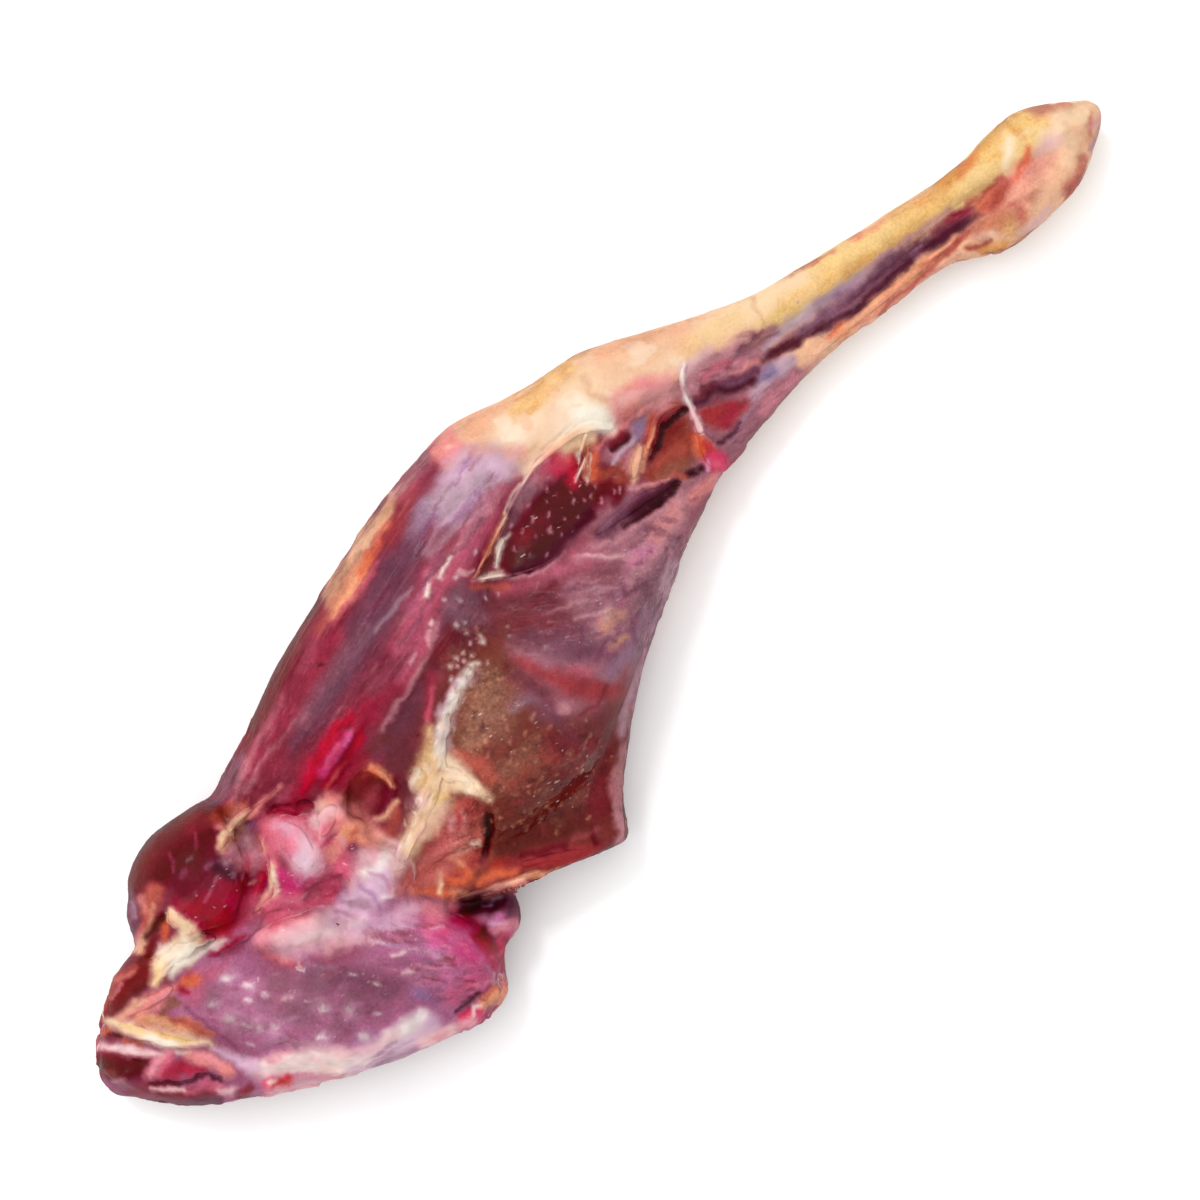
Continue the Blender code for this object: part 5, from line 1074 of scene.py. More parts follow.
def seen_from_above(points, normals):
    """Where the picture sees each point, in millimetres on its plane, with edges made a little uneven.

    On steep sides, which the picture hardly shows, colours come from a little further in and wander more.
    """
    middle = np.array(PICTURE_MIDDLE)
    nearer = PICTURE_DISTANCE / (PICTURE_DISTANCE - (points[:, 2] - PICTURE_PLANE))
    plan = (middle + (points[:, :2] - middle) * nearer[:, None]) * 1000
    wander = noise_pair(plan, SLOW_WANDER, 11, 57) + noise_pair(plan, QUICK_WANDER, 31, 77) / 2
    wander = wander * bpy.context.scene.leg_sizes.edge_wander * 1000
    steep = 1 - smooth(normals[:, 2] / SIDE_SLOPE)
    outward = normals[:, :2] / np.maximum(np.hypot(normals[:, 0], normals[:, 1]), 0.2)[:, None]
    aside = noise_pair(points * 1000, BROAD_WANDER, 131, 171) * SIDE_WANDER - outward * SIDE_INWARD
    return sorted_plan(plan + wander + aside * steep[:, None])


def region_masks(plan):
    masks = {}
    for name, strokes in REGIONS.items():
        mask = np.zeros(len(plan[0]))
        for cover, softness, *path in strokes:
            near, share = brush(plan, softness, path)
            mask[near] = np.maximum(mask[near], share * cover)
        masks[name] = mask
    return masks


def tissue(name):
    return np.array(getattr(bpy.context.scene.leg_colours, name), float)


def mottle(colour, points, masks):
    """Breaks up each region with soft patches of other tissues, and its tone with slight unevenness."""
    mm = points * 1000
    for name, region, cover, size, heading, times, rare, seed in MOTTLES:
        near = np.flatnonzero(masks[region] > 0.02)
        noise = stretched_noise(mm[near], heading, size * times, size, seed)
        share = ramp(noise, rare, PATCH_SOFTNESS) * masks[region][near] * cover
        colour[near] += share[:, None] * (tissue(name) - colour[near])
    calm = 1 - CALM_SHARE * np.maximum(masks["bone"], masks["knee_fat"])
    tone = sum(share * fine_noise(mm, size, seed) for share, size, seed in TONE_NOISE)
    return colour * (1 + tone * calm)[:, None]


def outer_side(points):
    """The outer side's colours: thin skin and fat in patches over dark muscle, all fat towards the hock."""
    mm = points * 1000
    fat = smooth(0.5 + 0.9 * fine_noise(mm, 34, 301) + 0.012 * (mm[:, 0] - 20))[:, None]
    film = smooth(0.5 + 1.4 * fine_noise(mm, 13, 331))[:, None]
    meat = tissue("wine") + film * (tissue("dusk") - tissue("wine"))
    cover = tissue("peach") + film * (tissue("cream") - tissue("peach"))
    return meat + fat * (cover - meat)


def paint(points, normals):
    """Each point's tissue colour, how far it stands up from the skin in millimetres, and its region masks."""
    plan = seen_from_above(points, normals)
    colour = np.tile(tissue("wine"), (len(points), 1))
    lift = np.zeros(len(points))
    for name, cover, softness, height, *path in STROKES:
        widest = max(radius for _, _, radius in path)
        near, share = brush(plan, softness * EDGE_SOFTNESS + widest * WIDE_SOFTNESS, path)
        colour[near] += (share * cover)[:, None] * (tissue(name) - colour[near])
        lift[near] += share * height
    masks = region_masks(plan)
    colour = mottle(colour, points, masks)
    steep = 1 - smooth(normals[:, 2] / 0.5 + 0.1)
    lean = 1 - ramp(colour.min(axis=1), *LEAN_PALENESS)
    # Painted shade: lean meat is darkened where it falls away steeply.
    colour *= (1 - STEEP_PAINTED_SHADE * steep * lean)[:, None]
    ragged = UPPER_RAGGED * fine_noise(points * 1000, 11, 401)
    facing = smooth((normals[:, 2] + UPPER_REACH + ragged) / UPPER_SOFTNESS)
    colour = colour * facing[:, None] + outer_side(points) * (1 - facing[:, None])
    lift *= facing
    for name in masks:
        masks[name] = masks[name] * facing
    masks["fat"] = ramp(colour.min(axis=1), *FAT_PALENESS)
    masks["upper"] = facing
    masks["level"] = 1 - steep
    return colour, lift, masks


def relief(points, masks):
    """The unevenness of each kind of surface, in millimetres."""
    mm = points * 1000
    height = 0.35 * fine_noise(mm, 16, 501) * (0.4 + 0.6 * masks["upper"])
    height += 0.16 * fine_noise(mm, 3.4, 511) * (1 - 0.7 * masks["bone"])
    height += 0.42 * masks["cut_face"] * fine_noise(mm, 2.6, 521)
    height += 0.5 * masks["bumps"] * fine_noise(mm, 7, 531, 2)
    height += 0.3 * (masks["fat"] * (1 - masks["bone"])) * np.abs(fine_noise(mm, 5, 541))
    for region, rise, heading, length, width, seed in GRAINS:
        height += rise * masks[region] * stretched_noise(mm, heading, length, width, seed)
    return height


def mesh_points(mesh):
    points = np.empty(len(mesh.vertices) * 3, np.float32)
    normals = np.empty(len(mesh.vertices) * 3, np.float32)
    mesh.vertices.foreach_get("co", points)
    mesh.vertex_normals.foreach_get("vector", normals)
    return points.reshape(-1, 3).astype(float), normals.reshape(-1, 3).astype(float)


def move_points(mesh, points):
    """Puts the mesh's points here, none of them under the floor that the leg rests on."""
    points[:, 2] = np.maximum(points[:, 2], cad_bounds[0].z)
    mesh.vertices.foreach_set("co", points.astype(np.float32).ravel())
    mesh.update()


def only(piece):
    """Selects this piece alone and makes it active."""
    bpy.ops.object.select_all(action="DESELECT")
    piece.select_set(True)
    bpy.context.view_layer.objects.active = piece


def apply_modifier(piece, kind, **settings):
    only(piece)
    modifier = piece.modifiers.new(kind.title(), kind)
    for name, value in settings.items():
        setattr(modifier, name, value)
    bpy.ops.object.modifier_apply(modifier=modifier.name)


def store_paint(piece, facing_up=False):
    """Paints the piece's points with their tissue colours and the masks that its material reads."""
    mesh = piece.data
    points, normals = mesh_points(mesh)
    slope = ramp(-normals[:, 2], -SLOPE_START, SLOPE_RANGE)
    if facing_up:
        normals = np.tile([0.0, 0.0, 1.0], (len(points), 1))
    colour, _, masks = paint(points, normals)
    gloss = GLOSS_SHARE + SLOPE_GLOSS_SHARE * slope * masks["upper"] * (1 - masks["fat"])
    linear = np.where(colour < 0.04045, colour / 12.92, ((colour + 0.055) / 1.055) ** 2.4)
    linear = np.clip((linear - gloss[:, None]) / LIGHT_SHARE, 0.002, 0.95)
    values = np.concatenate([linear, np.ones((len(linear), 1))], axis=1).astype(np.float32)
    layer = mesh.attributes.new("tissue", "FLOAT_COLOR", "POINT")
    layer.data.foreach_set("color", values.ravel())
    for name in MATERIAL_MASKS:
        layer = mesh.attributes.new(name, "FLOAT", "POINT")
        layer.data.foreach_set("value", masks[name].astype(np.float32))
    only(piece)
    bpy.ops.object.shade_smooth()


def spare_weights(piece, colour, masks):
    """How far each point can be spared when the mesh is thinned: fully below, little at sharp changes."""
    mesh = piece.data
    ends = np.empty(len(mesh.edges) * 2, np.int32)
    mesh.edges.foreach_get("vertices", ends)
    ends = ends.reshape(-1, 2)
    change = np.abs(colour[ends[:, 0]] - colour[ends[:, 1]]).max(axis=1)
    detail = np.zeros(len(colour))
    np.maximum.at(detail, ends[:, 0], change)
    np.maximum.at(detail, ends[:, 1], change)
    for _ in range(2):
        spread = detail.copy()
        np.maximum.at(spread, ends[:, 0], detail[ends[:, 1]] * SPARE_SPREAD)
        np.maximum.at(spread, ends[:, 1], detail[ends[:, 0]] * SPARE_SPREAD)
        detail = spread
    spare = np.clip(1 - detail / SHARP_CHANGE, LEAST_SPARE, 1)
    spare[masks["upper"] < 0.3] = 1
    group = piece.vertex_groups.new(name="spare")
    level = np.round(spare * SPARE_STEPS).astype(int)
    for step in range(1, SPARE_STEPS + 1):
        group.add(np.flatnonzero(level == step).tolist(), step / SPARE_STEPS, "REPLACE")


def build_leg():
    """The whole leg: the solid's surface made finer, roughened as each tissue is, and painted."""
    sizes = bpy.context.scene.leg_sizes
    levels, coarser, fewer = ((2, 1, 1))
    piece = bpy.data.objects.new("lamb_leg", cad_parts["leg"].data.copy())
    bpy.context.scene.collection.objects.link(piece)
    piece.data.materials.clear()
    only(piece)
    bpy.ops.object.mode_set(mode="EDIT")
    bpy.ops.mesh.select_all(action="SELECT")
    bpy.ops.mesh.remove_doubles(threshold=1e-5)
    bpy.ops.object.mode_set(mode="OBJECT")
    apply_modifier(piece, "SUBSURF", levels=levels, render_levels=levels)
    apply_modifier(piece, "REMESH", mode="VOXEL", voxel_size=sizes.skin_step * coarser, use_smooth_shade=True)
    apply_modifier(piece, "SMOOTH", factor=0.5, iterations=4)
    points, normals = mesh_points(piece.data)
    colour, lift, masks = paint(points, normals)
    height = (lift + relief(points, masks)) * sizes.relief / 1000
    move_points(piece.data, points + normals * height[:, None])
    spare_weights(piece, colour, masks)
    share = sizes.most_triangles / fewer / (len(piece.data.polygons) * 2)
    if share < 1:
        apply_modifier(piece, "DECIMATE", ratio=share, vertex_group="spare", vertex_group_factor=1.0)
    piece.vertex_groups.clear()
    store_paint(piece)
    return piece


# Raised strips of fat, membrane and tendon that lie on the leg: name, how flat they are, how far their middle
# stands over the skin as a share of their half width, how lumpy they are in millimetres, and their path.
FAT_STRIPS = (
    ("tip_fat_ridge", .7, 0, .9, (-242, 17, 1.2), (-239, 12, 2.2), (-236, 6, 2.6), (-232, -1, 2.8),
     (-228, -7, 2.6),
     (-223, -13, 1.7), (-220, -18, .7)),
    ("tip_fat_shelf", .7, .1, .5, (-236, 14, 1.4), (-228, 11, 2.2), (-220, 9, 2.2), (-214, 8, 1)),
    ("tip_membrane_rim", .8, .1, .3, (-249, 10, .9), (-244, 4, 1.5), (-239, -3, 1.5), (-235, -7, .8)),
    ("hip_fat_patch", .45, -.1, 1.2, (-219, 14, 1.2), (-212, 16, 2.6), (-204, 15, 4), (-197, 15, 3.4),
     (-190, 9, 1.2)),
    ("hip_fat_tail", .6, 0, .5, (-196, 28, 1), (-196, 22, 2), (-195, 16, 2)),
    ("lobe_edge_fat", .8, .1, .4, (-157, 16, .7), (-161, 10, 1.3), (-164, 6.8, 1.8), (-170, 6.6, 1.2),
     (-175, 6, .6)),
    ("lobe_top_fat", .8, .1, .4, (-166, 31, .8), (-160, 34.5, 1.6), (-153, 35, 1.6), (-145, 33.4, .9),
     (-135, 32.5, .5)),
    ("hip_bulge", .42, -.16, .9, (-147, 25, 2.4), (-144, 18, 5), (-145, 10, 5.6), (-148, 3, 3)),
    ("hip_pink_lump", .5, -.1, .6, (-137, 8, 1.6), (-131, 12, 4.2), (-124, 12, 2.8)),
    ("seam_fat", .42, -.15, 1.7, (-127, -20, 1.6), (-118, -17, 2.6), (-108, -13, 3.4), (-98, -8, 4.6),
     (-89, -3, 5),
     (-83, 1, 3.8), (-76, 5.5, 2.8), (-68, 9.5, 2.4), (-60, 12, 2), (-53, 14, 1.2)),
    ("seam_tongue", .45, -.1, 1.3, (-88, -6, 3.4), (-85, -13, 2.8), (-83.5, -20, 2.1), (-83, -25, .9)),
    ("pit_rim", .8, .2, .4, (-107, 15, 1.1), (-104.5, 11, 1.6), (-103.5, 6, 1.3), (-105, 2, .6)),
    ("flap_rim_fat", .8, .1, .4, (-118, -43, .7), (-110, -47, 1.2), (-101, -51, 1.4), (-93, -55, 1.1),
     (-86, -58.6, .6)),
    ("flap_red_rim", .7, 0, .5, (-92, -51, 1), (-84, -56, 1.6), (-76, -61, 1.6), (-69, -65.5, .9)),
    ("knee_fat_lip", .6, 0, .4, (14, 49.6, .6), (24, 49, 1.2), (34, 48.5, 1.7), (42, 46, 2.6),
     (46, 41.5, 2.4), (47.5, 38, 1)),
    ("recess_upper_lip", .9, .2, .2, (-30, 35.4, .4), (-20, 39, .7), (-10, 42.3, .8), (0, 45.5, .8),
     (10, 48.2, .8),
     (16, 49.3, .5)),
    ("recess_fork", .9, .3, .2, (-20, 33.5, .5), (-15, 37, .9), (-10, 38.6, .6)),
    ("recess_lower_lip", .9, .2, .2, (-29, 35, .4), (-21, 30, .8), (-14, 24, .8), (-6, 20.8, .7),
     (2, 19.5, .4)),
    ("knee_flesh_band", .8, .2, .3, (50, 24, .8), (56, 28, 1.5), (62, 31, 1.6), (68, 30, 1.3),
     (71, 27, .6)),
    ("hollow_fat_wedge", .7, .1, .3, (38.5, 20, .7), (44, 24, 1.9), (50, 27, 1)),
    ("hollow_lower_band", .7, 0, .4, (14, 15.5, 1), (24, 14.6, 2.2), (34, 13.4, 2.5), (43, 10.6, 1.6),
     (49, 8.6, .6)),
    ("heel_tendon", .7, 0, .2, (117, 6, 1.4), (130, 5, 1.9), (145, 3.4, 1.9), (160, 1.8, 1.8),
     (175, .2, 1.5), (188, -1.4, .8)),
)
HANGING_STRIPS = (
    ("recess_ray_upper", .9, .7, .1, (26, 36.5, .3), (30, 39.6, .6), (34, 42.2, .8), (39, 44.8, .8)),
    ("recess_ray_middle", .9, .7, .1, (24, 35, .3), (29, 37, .6), (34, 39.4, .4)),
    ("recess_ray_lower", .9, .7, .1, (27, 32.5, .3), (31, 36.6, .6), (36, 41, .5)),
    ("white_tendon", .8, .8, .1, (83, 36.8, .5), (80, 35.6, 1.1), (77, 33.4, 1.1), (74.6, 30, 1),
     (73, 26, .9),
     (71.6, 21.6, 1), (69.8, 17.4, 1.4), (68.6, 14, 1.7)),
    ("hanging_flesh_drop", .7, .5, .3, (69, 16, 1), (68, 12, 2.4), (66.6, 8, 3.3), (65.2, 4, 3.6),
     (63.8, .6, 2.6), (63, -1, 1)),
)
STRIP_SIDES = 10

# The strips that hang over the hollows stay this close to a straight line from end to end, as a share.
HANGING_SHARE = 0.8


def skin_places(tree, path):
    """Points of the picture's plan, in millimetres, as places on the leg's skin."""
    middle = Vector(PICTURE_MIDDLE)
    places = []
    for x, y, _ in path:
        plan = Vector((x, y)) / 1000
        height = PICTURE_PLANE
        for _ in range(3):
            nearer = PICTURE_DISTANCE / (PICTURE_DISTANCE - (height - PICTURE_PLANE))
            spot = middle + (plan - middle) / nearer
            found = tree.ray_cast(Vector((spot.x, spot.y, 1)), Vector((0, 0, -1)))[0]
            if found is None:
                found = tree.find_nearest(Vector((spot.x, spot.y, height)))[0]
            height = found.z
        places.append(Vector((spot.x, spot.y, height)))
    return places


def build_strip(tree, name, flat, stand, lumpy, path, bridging):
    """A tapering strip, extruded ring by ring along its path, then rounded, made lumpy and painted."""
    places = skin_places(tree, path)
    widths = [radius / 1000 for _, _, radius in path]
    for number, place in enumerate(places):
        along = number / (len(places) - 1)
        straight = places[0].z * (1 - along) + places[-1].z * along
        place.z += bridging * max(straight - place.z, 0) + stand * widths[number]
    headings = []
    for before, after in zip([places[0], *places[:-1]], [*places[1:], places[-1]]):
        headings.append(math.atan2(after.y - before.y, after.x - before.x))
    bpy.ops.object.select_all(action="DESELECT")
    bpy.ops.mesh.primitive_circle_add(
        vertices=STRIP_SIDES, radius=widths[0], fill_type="NGON", location=places[0],
        rotation=(0, math.pi / 2, headings[0]))
    piece = bpy.context.active_object
    piece.name = name
    piece.data.name = name
    bpy.ops.object.transform_apply(location=True, rotation=True, scale=True)
    bpy.ops.object.mode_set(mode="EDIT")
    bpy.ops.mesh.select_all(action="SELECT")
    bpy.ops.transform.resize(value=(1, 1, flat), center_override=places[0])
    for number in range(1, len(places)):
        here = places[number]
        turn = (headings[number] - headings[number - 1] + math.pi) % (2 * math.pi) - math.pi
        wider = widths[number] / widths[number - 1]
        bpy.ops.mesh.extrude_region_move(TRANSFORM_OT_translate={"value": here - places[number - 1]})
        bpy.ops.transform.rotate(value=-turn, orient_axis="Z", orient_type="GLOBAL", center_override=here)
        bpy.ops.transform.resize(value=(wider, wider, wider), center_override=here)
    bpy.ops.mesh.select_all(action="SELECT")
    bpy.ops.mesh.normals_make_consistent(inside=False)
    bpy.ops.object.mode_set(mode="OBJECT")
    apply_modifier(piece, "SUBSURF", levels=2, render_levels=2)
    points, normals = mesh_points(piece.data)
    lumps = fine_noise(points * 1000, 3.2, 601) * lumpy / 1000
    move_points(piece.data, points + normals * lumps[:, None])
    store_paint(piece, facing_up=True)
    return piece


def build_strips(strips, bridging):
    leg = bpy.data.objects["lamb_leg"]
    tree = BVHTree.FromObject(leg, bpy.context.evaluated_depsgraph_get())
    for name, flat, stand, lumpy, *path in strips:
        hand_over(build_strip(tree, name, flat, stand, lumpy, path, bridging))


# The muscle strands that the material shows: region, heading in degrees, length and width.
STRANDS = (
    ("thigh_grain", -11, 0.034, 0.0014),
    ("rump_grain", 58, 0.016, 0.0013),
    ("fascia_grain", 38, 0.010, 0.0012),
    ("shank_grain", 8, 0.034, 0.0010),
)
MATERIAL_MASKS = ("fat", "wet", "cut_face", "bumps", "level", *(region for region, *_ in STRANDS))

# How fine the grain and the mottling of the meat are, and how strongly they and the strands change its tone.
# The cut face has CUT_GRAIN_TONE more grain. Fat shows FAT_TONE of all that, and lean meat LEAN_TONE more.
GRAIN_SCALE = 820.0
MOTTLING_SCALE = 150.0
STRAND_TONE = 0.55
GRAIN_TONE = 0.9
CUT_GRAIN_TONE = 0.9
MOTTLING_TONE = 0.5
FAT_TONE = 0.12
LEAN_TONE = 0.8

# The thin pale lines between strands, and the painted glints, pale highlights on wet lean meat: colour,
# strength and, for the glints, how large they are, which way they lie, how many places they fill, and how
# much fainter they are on the rump's bumps.
VEIN_COLOUR = (0.62, 0.33, 0.37, 1)
VEIN_STRENGTH = 0.12
GLINT_COLOUR = (0.78, 0.58, 0.62, 1)
GLINT_STRENGTH = 0.42
GLINT_SIZE = 0.0021
GLINT_HEADING = 0.3
GLINT_SHARE = 0.3
GLINT_FADE = 0.75

# Roughness where dry, how much less it is where wet and how far mottling changes it, and the moist coat.
DRY_ROUGHNESS = 0.46
WET_SMOOTHER = 0.16
MOTTLED_ROUGHNESS = 0.3
DRY_COAT = 0.08
WET_COAT = 0.26
COAT_ROUGHNESS = 0.12

# How far the finest unevenness stands up, and the shares that grain, mottling and the painted glints have in
# it.
BUMP_HEIGHT = 0.0009
GRAIN_BUMP = 0.55
MOTTLING_BUMP = 0.7
GLINT_BUMP = 0.5


def add_node(tree, kind, inputs=None, **settings):
    """Adds a shader node, sets its settings, and links or sets its inputs."""
    made = tree.nodes.new(kind)
    for name, value in settings.items():
        setattr(made, name, value)
    for name, value in (inputs or {}).items():
        if isinstance(value, bpy.types.NodeSocket):
            tree.links.new(value, made.inputs[name])
        else:
            made.inputs[name].default_value = value
    return made


def maths(tree, operation, first, second=0.0, third=0.0, clamp=False):
    inputs = {0: first, 1: second, 2: third}
    return add_node(tree, "ShaderNodeMath", inputs, operation=operation, use_clamp=clamp).outputs[0]


def mixed(tree, share, first, second):
    made = add_node(tree, "ShaderNodeMix", data_type="RGBA")
    for name, value in (("Factor_Float", share), ("A_Color", first), ("B_Color", second)):
        place = next(s for s in made.inputs if s.identifier == name)
        if isinstance(value, bpy.types.NodeSocket):
            tree.links.new(value, place)
        else:
            place.default_value = value
    return next(s for s in made.outputs if s.identifier == "Result_Color")


def new_group(name, lengths, output):
    """A node group that reads coordinates, a heading and these further values, and puts out one value."""
    group = bpy.data.node_groups.new(name, "ShaderNodeTree")
    group.interface.new_socket(name="Coordinates", in_out="INPUT", socket_type="NodeSocketVector")
    for label, value in (("Heading", 0.0), *lengths):
        made = group.interface.new_socket(name=label, in_out="INPUT", socket_type="NodeSocketFloat")
        made.default_value = value
    group.interface.new_socket(name=output, in_out="OUTPUT", socket_type="NodeSocketFloat")
    given = group.nodes.new("NodeGroupInput").outputs
    turned = add_node(group, "ShaderNodeVectorRotate",
                      {"Vector": given["Coordinates"], "Angle": given["Heading"]}, rotation_type="Z_AXIS")
    return group, given, turned.outputs[0], group.nodes.new("NodeGroupOutput").inputs


def muscle_strands_group():
    """Fine strands that run at a heading, seen from above, as a value round 0.5."""
    group, given, turned, result = new_group(
        "muscle strands", [("Length", 0.02), ("Width", 0.001)], "Strands")
    per_length = maths(group, "DIVIDE", 1.0, given["Length"])
    per_width = maths(group, "DIVIDE", 1.0, given["Width"])
    scale = add_node(group, "ShaderNodeCombineXYZ", {0: per_length, 1: per_width, 2: per_width})
    stretched = add_node(group, "ShaderNodeVectorMath", {0: turned, 1: scale.outputs[0]},
                         operation="MULTIPLY")
    noise = add_node(group, "ShaderNodeTexNoise",
                     {"Vector": stretched.outputs[0], "Scale": 1.0, "Detail": 3.0, "Roughness": 0.6})
    group.links.new(noise.outputs[0], result["Strands"])
    return group


def painted_glints_group():
    """Painted glints, small pale highlights: a mask of short dashes of a size, in a share of the cells they
    may lie in.
    """
    group, given, turned, result = new_group("painted glints", [("Size", 0.002), ("Share", 0.2)], "Glint mask")
    per_size = maths(group, "DIVIDE", 1.0, given["Size"])
    scaled = add_node(group, "ShaderNodeVectorMath", {0: turned, "Scale": per_size}, operation="SCALE")
    squashed = add_node(group, "ShaderNodeVectorMath", {0: scaled.outputs[0], 1: (0.62, 1.25, 1.0)},
                        operation="MULTIPLY")
    warp = add_node(group, "ShaderNodeTexNoise", {"Vector": squashed.outputs[0], "Scale": 1.3, "Detail": 2.0})
    moved = add_node(group, "ShaderNodeVectorMath", {0: squashed.outputs[0], 1: warp.outputs["Color"]},
                     operation="ADD")
    cells = add_node(group, "ShaderNodeTexVoronoi",
                     {"Vector": moved.outputs[0], "Scale": 1.0, "Randomness": 1.0})
    parts = add_node(group, "ShaderNodeSeparateColor", {0: cells.outputs["Color"]})
    chosen = maths(group, "LESS_THAN", parts.outputs[0], given["Share"])
    reach = maths(group, "MULTIPLY_ADD", parts.outputs[1], 0.22, 0.1)
    edge = maths(group, "SUBTRACT", reach, cells.outputs["Distance"])
    soft = maths(group, "MULTIPLY", edge, 7.0, clamp=True)
    group.links.new(maths(group, "MULTIPLY", soft, chosen), result["Glint mask"])
    return group


def tissue_material():
    """Raw tissue: its painted colour, broken up by mottling and strands, with painted glints where wet, under
    a moist coat.
    """
    name = "raw_lamb_tissue"
    if name in bpy.data.materials:
        return bpy.data.materials[name]
    material = bpy.data.materials.new(name)
    material.use_nodes = True
    tree = material.node_tree
    tree.nodes.clear()
    where = add_node(tree, "ShaderNodeTexCoord").outputs["Object"]

    def painted(label):
        return add_node(tree, "ShaderNodeAttribute", attribute_name=label).outputs["Fac"]

    def plus(first, second):
        return maths(tree, "ADD", first, second)

    def minus(first, second):
        return maths(tree, "SUBTRACT", first, second)

    def times(first, second, clamp=False):
        return maths(tree, "MULTIPLY", first, second, clamp=clamp)

    def noise(scale, roughness):
        inputs = {"Vector": where, "Scale": scale, "Detail": 3.0, "Roughness": roughness}
        return minus(add_node(tree, "ShaderNodeTexNoise", inputs).outputs[0], 0.5)

    base = add_node(tree, "ShaderNodeAttribute", attribute_name="tissue").outputs["Color"]
    wet = painted("wet")
    strands_group = muscle_strands_group()
    total = None
    for region, heading, length, width in STRANDS:
        strands = add_node(tree, "ShaderNodeGroup", node_tree=strands_group)
        tree.links.new(where, strands.inputs["Coordinates"])
        strands.inputs["Heading"].default_value = math.radians(heading)
        strands.inputs["Length"].default_value = length
        strands.inputs["Width"].default_value = width
        here = times(minus(strands.outputs[0], 0.5), painted(region))
        total = here if total is None else plus(total, here)
    lean = minus(1.0, painted("fat"))
    grain = noise(GRAIN_SCALE, 0.65)
    mottling = noise(MOTTLING_SCALE, 0.6)
    grain_tone = maths(tree, "MULTIPLY_ADD", painted("cut_face"), CUT_GRAIN_TONE, GRAIN_TONE)
    tone = plus(times(total, STRAND_TONE), times(grain, grain_tone))
    tone = plus(tone, times(mottling, MOTTLING_TONE))
    tone = plus(times(tone, maths(tree, "MULTIPLY_ADD", lean, LEAN_TONE, FAT_TONE)), 1.0)
    shaded = add_node(tree, "ShaderNodeVectorMath", {0: base, "Scale": tone}, operation="SCALE").outputs[0]
    veins = times(minus(total, 0.09), 4.0, clamp=True)
    veined = mixed(tree, times(veins, VEIN_STRENGTH), shaded, VEIN_COLOUR)
    glint_node = add_node(tree, "ShaderNodeGroup", node_tree=painted_glints_group())
    tree.links.new(where, glint_node.inputs["Coordinates"])
    glint_node.inputs["Heading"].default_value = GLINT_HEADING
    glint_node.inputs["Size"].default_value = GLINT_SIZE
    glint_node.inputs["Share"].default_value = GLINT_SHARE
    # Painted highlights: pale glints mixed into the colour of wet lean meat, fainter on the rump's bumps.
    glint_mask = times(glint_node.outputs[0], times(wet, lean))
    glint_mask = times(glint_mask, minus(1.0, times(painted("bumps"), GLINT_FADE)))
    finished = mixed(tree, times(glint_mask, GLINT_STRENGTH), veined, GLINT_COLOUR)
    rough = minus(DRY_ROUGHNESS, times(wet, WET_SMOOTHER))
    rough = plus(rough, times(mottling, MOTTLED_ROUGHNESS))
    coat = times(maths(tree, "MULTIPLY_ADD", wet, WET_COAT, DRY_COAT), painted("level"))
    height = plus(total, times(grain, GRAIN_BUMP))
    height = plus(height, times(mottling, MOTTLING_BUMP))
    height = plus(height, times(glint_mask, GLINT_BUMP))
    bump = add_node(tree, "ShaderNodeBump", {"Strength": 0.5, "Distance": BUMP_HEIGHT, "Height": height})
    shader = add_node(tree, "ShaderNodeBsdfPrincipled", {
        "Base Color": finished, "Roughness": rough, "Coat Weight": coat, "Coat Roughness": COAT_ROUGHNESS,
        "Coat IOR": 1.38, "IOR": 1.4, "Specular IOR Level": 0.06, "Normal": bump.outputs[0],
    })
    output = add_node(tree, "ShaderNodeOutputMaterial")
    tree.links.new(shader.outputs[0], output.inputs[0])
    return material


def hand_over(piece):
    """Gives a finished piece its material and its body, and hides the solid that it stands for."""
    piece.data.materials.clear()
    piece.data.materials.append(tissue_material())
    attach(piece, "root")
    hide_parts("leg")


class LegSizes(bpy.types.PropertyGroup):
    skin_step: bpy.props.FloatProperty(
        name="Skin step", description="Side of the small squares that the surface is made of",
        default=0.00078, min=0.0004, max=0.004, unit="LENGTH", subtype="DISTANCE", precision=5)
    most_triangles: bpy.props.IntProperty(
        name="Most triangles", description="How many triangles the leg may have", default=192000, min=20000)
    edge_wander: bpy.props.FloatProperty(
        name="Edge wander", description="How far the edges of the tissues wander",
        default=0.0012, min=0, max=0.005, unit="LENGTH", subtype="DISTANCE", precision=5)
    relief: bpy.props.FloatProperty(
        name="Relief", description="How strongly the surface is roughened, 1 as on the real leg",
        default=1.0, min=0, max=3, subtype="FACTOR")
    floor_width: bpy.props.FloatProperty(
        name="Floor width", description="Side of the pale floor",
        default=6.0, min=1, unit="LENGTH", subtype="DISTANCE")


def colour_property(name, rgb, where):
    return bpy.props.FloatVectorProperty(
        name=name.replace("_", " ").capitalize(), description="Colour of the " + where, subtype="COLOR_GAMMA",
        size=3, min=0, max=1, default=tuple(part / 255 for part in rgb))


class LegColours(bpy.types.PropertyGroup):
    __annotations__ = {name: colour_property(name, rgb, where) for name, (rgb, where) in TISSUES.items()}


class LEG_OT_body(bpy.types.Operator):
    """Builds the leg itself, with its muscles, fat and bone ends"""

    bl_idname = "leg_of_lamb.body"
    bl_label = "Leg with Muscle and Fat"

    def execute(self, context):
        hand_over(build_leg())
        return {"FINISHED"}


class LEG_OT_fat(bpy.types.Operator):
    """Builds the raised strips of fat, membrane and tendon that lie on the leg"""

    bl_idname = "leg_of_lamb.fat"
    bl_label = "Strips of Fat and Membrane"

    def execute(self, context):
        build_strips(FAT_STRIPS, 0.0)
        return {"FINISHED"}


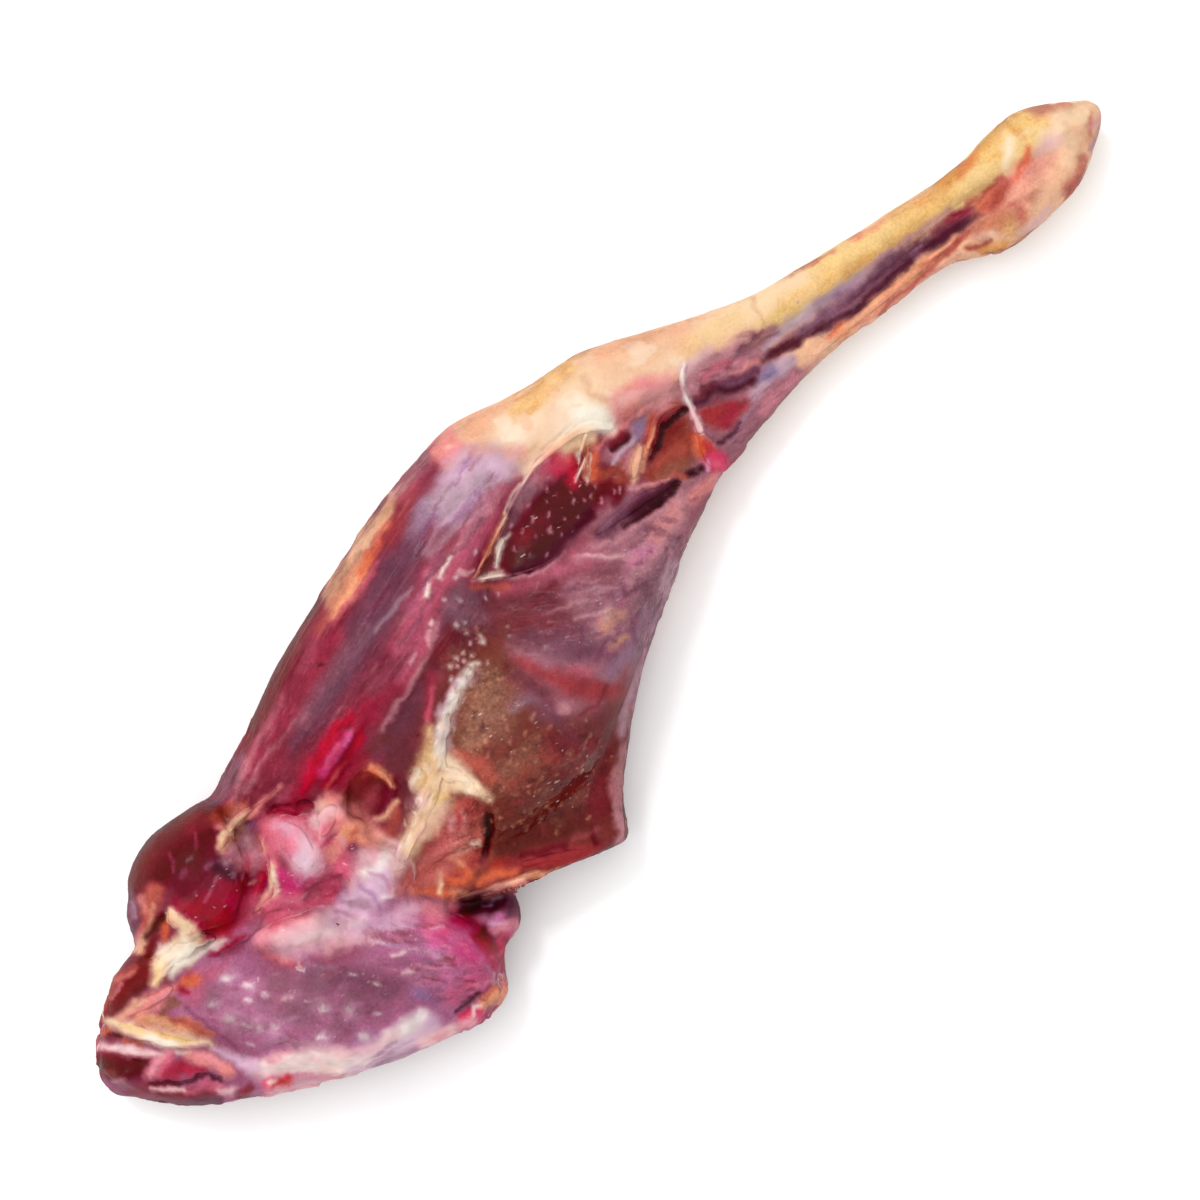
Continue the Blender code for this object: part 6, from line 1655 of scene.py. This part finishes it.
class LEG_OT_hanging(bpy.types.Operator):
    """Builds the white tendon with its drop of flesh and the thin rays, which hang over the hollows"""

    bl_idname = "leg_of_lamb.hanging"
    bl_label = "Tendon and Rays over the Hollows"

    def execute(self, context):
        build_strips(HANGING_STRIPS, HANGING_SHARE)
        return {"FINISHED"}


class LEG_OT_stage(bpy.types.Operator):
    """Adds the pale floor, the soft studio light and the camera"""

    bl_idname = "leg_of_lamb.stage"
    bl_label = "Floor, Light and Camera"

    def execute(self, context):
        bpy.ops.object.select_all(action="DESELECT")
        bpy.ops.mesh.primitive_plane_add(
            size=context.scene.leg_sizes.floor_width, location=(0, 0, cad_bounds[0].z - 0.0002))
        floor = context.active_object
        floor.name = "pale_floor"
        floor.data.name = "pale_floor"
        bpy.ops.object.transform_apply(location=True, rotation=True, scale=True)
        material = bpy.data.materials.new("pale_floor")
        material.use_nodes = True
        shader = material.node_tree.nodes["Principled BSDF"]
        shader.inputs["Base Color"].default_value = (0.97, 0.97, 0.97, 1)
        shader.inputs["Roughness"].default_value = 1.0
        shader.inputs["Specular IOR Level"].default_value = 0.0
        floor.data.materials.append(material)
        add_lights(context.scene)
        add_camera(context.scene)
        return {"FINISHED"}


# The even light from all round, and the lamps: name, strength, width in degrees, height over the floor in
# degrees, and the side it comes from.
WORLD_STRENGTH = 0.94
LIGHTS = (
    ("soft_box", 1.25, 60, 66, 200),
    ("small_lamp", 0.6, 9, 60, 170),
)


def add_lights(scene):
    world = bpy.data.worlds.new("studio")
    world.use_nodes = True
    background = world.node_tree.nodes["Background"]
    background.inputs["Color"].default_value = (1, 1, 1, 1)
    background.inputs["Strength"].default_value = WORLD_STRENGTH
    scene.world = world
    for name, strength, angle, height, side in LIGHTS:
        bpy.ops.object.light_add(type="SUN", location=(0, 0, 1))
        light = bpy.context.active_object
        light.name = name
        light.data.energy = strength
        light.data.angle = math.radians(angle)
        light.rotation_euler = (math.radians(90 - height), 0, math.radians(side))
    scene.view_settings.view_transform = "Standard"
    scene.view_settings.look = "None"
    scene.view_settings.exposure = 0
    scene.view_settings.gamma = 1


def add_camera(scene):
    middle = Vector((*PICTURE_MIDDLE, PICTURE_PLANE + PICTURE_DISTANCE))
    bpy.ops.object.camera_add(location=middle, rotation=(0, 0, PICTURE_TURN))
    camera = bpy.context.active_object
    camera.name = "picture_camera"
    camera.data.lens = LENS_MM
    camera.data.sensor_width = SENSOR_MM
    camera.data.clip_end = 20
    scene.camera = camera


class LEG_PT_panel(bpy.types.Panel):
    bl_label = "Leg of Lamb"
    bl_idname = "LEG_PT_panel"
    bl_space_type = "VIEW_3D"
    bl_region_type = "UI"
    bl_category = "Leg of Lamb"

    def draw(self, context):
        layout = self.layout
        for operator in OPERATORS:
            layout.operator(operator.bl_idname)
        for settings in (context.scene.leg_sizes, context.scene.leg_colours):
            for name in settings.__annotations__:
                layout.prop(settings, name)


OPERATORS = (LEG_OT_body, LEG_OT_fat, LEG_OT_hanging, LEG_OT_stage)
CLASSES = (LegSizes, LegColours, *OPERATORS, LEG_PT_panel)


def register():
    for made in CLASSES:
        bpy.utils.register_class(made)
    bpy.types.Scene.leg_sizes = bpy.props.PointerProperty(type=LegSizes)
    bpy.types.Scene.leg_colours = bpy.props.PointerProperty(type=LegColours)


def unregister():
    del bpy.types.Scene.leg_colours
    del bpy.types.Scene.leg_sizes
    for made in reversed(CLASSES):
        bpy.utils.unregister_class(made)


def main():
    register()
    bpy.ops.object.select_all(action="DESELECT")
    for operator in OPERATORS:
        group, name = operator.bl_idname.split(".")
        getattr(getattr(bpy.ops, group), name)()


if __name__ == "__main__":
    main()
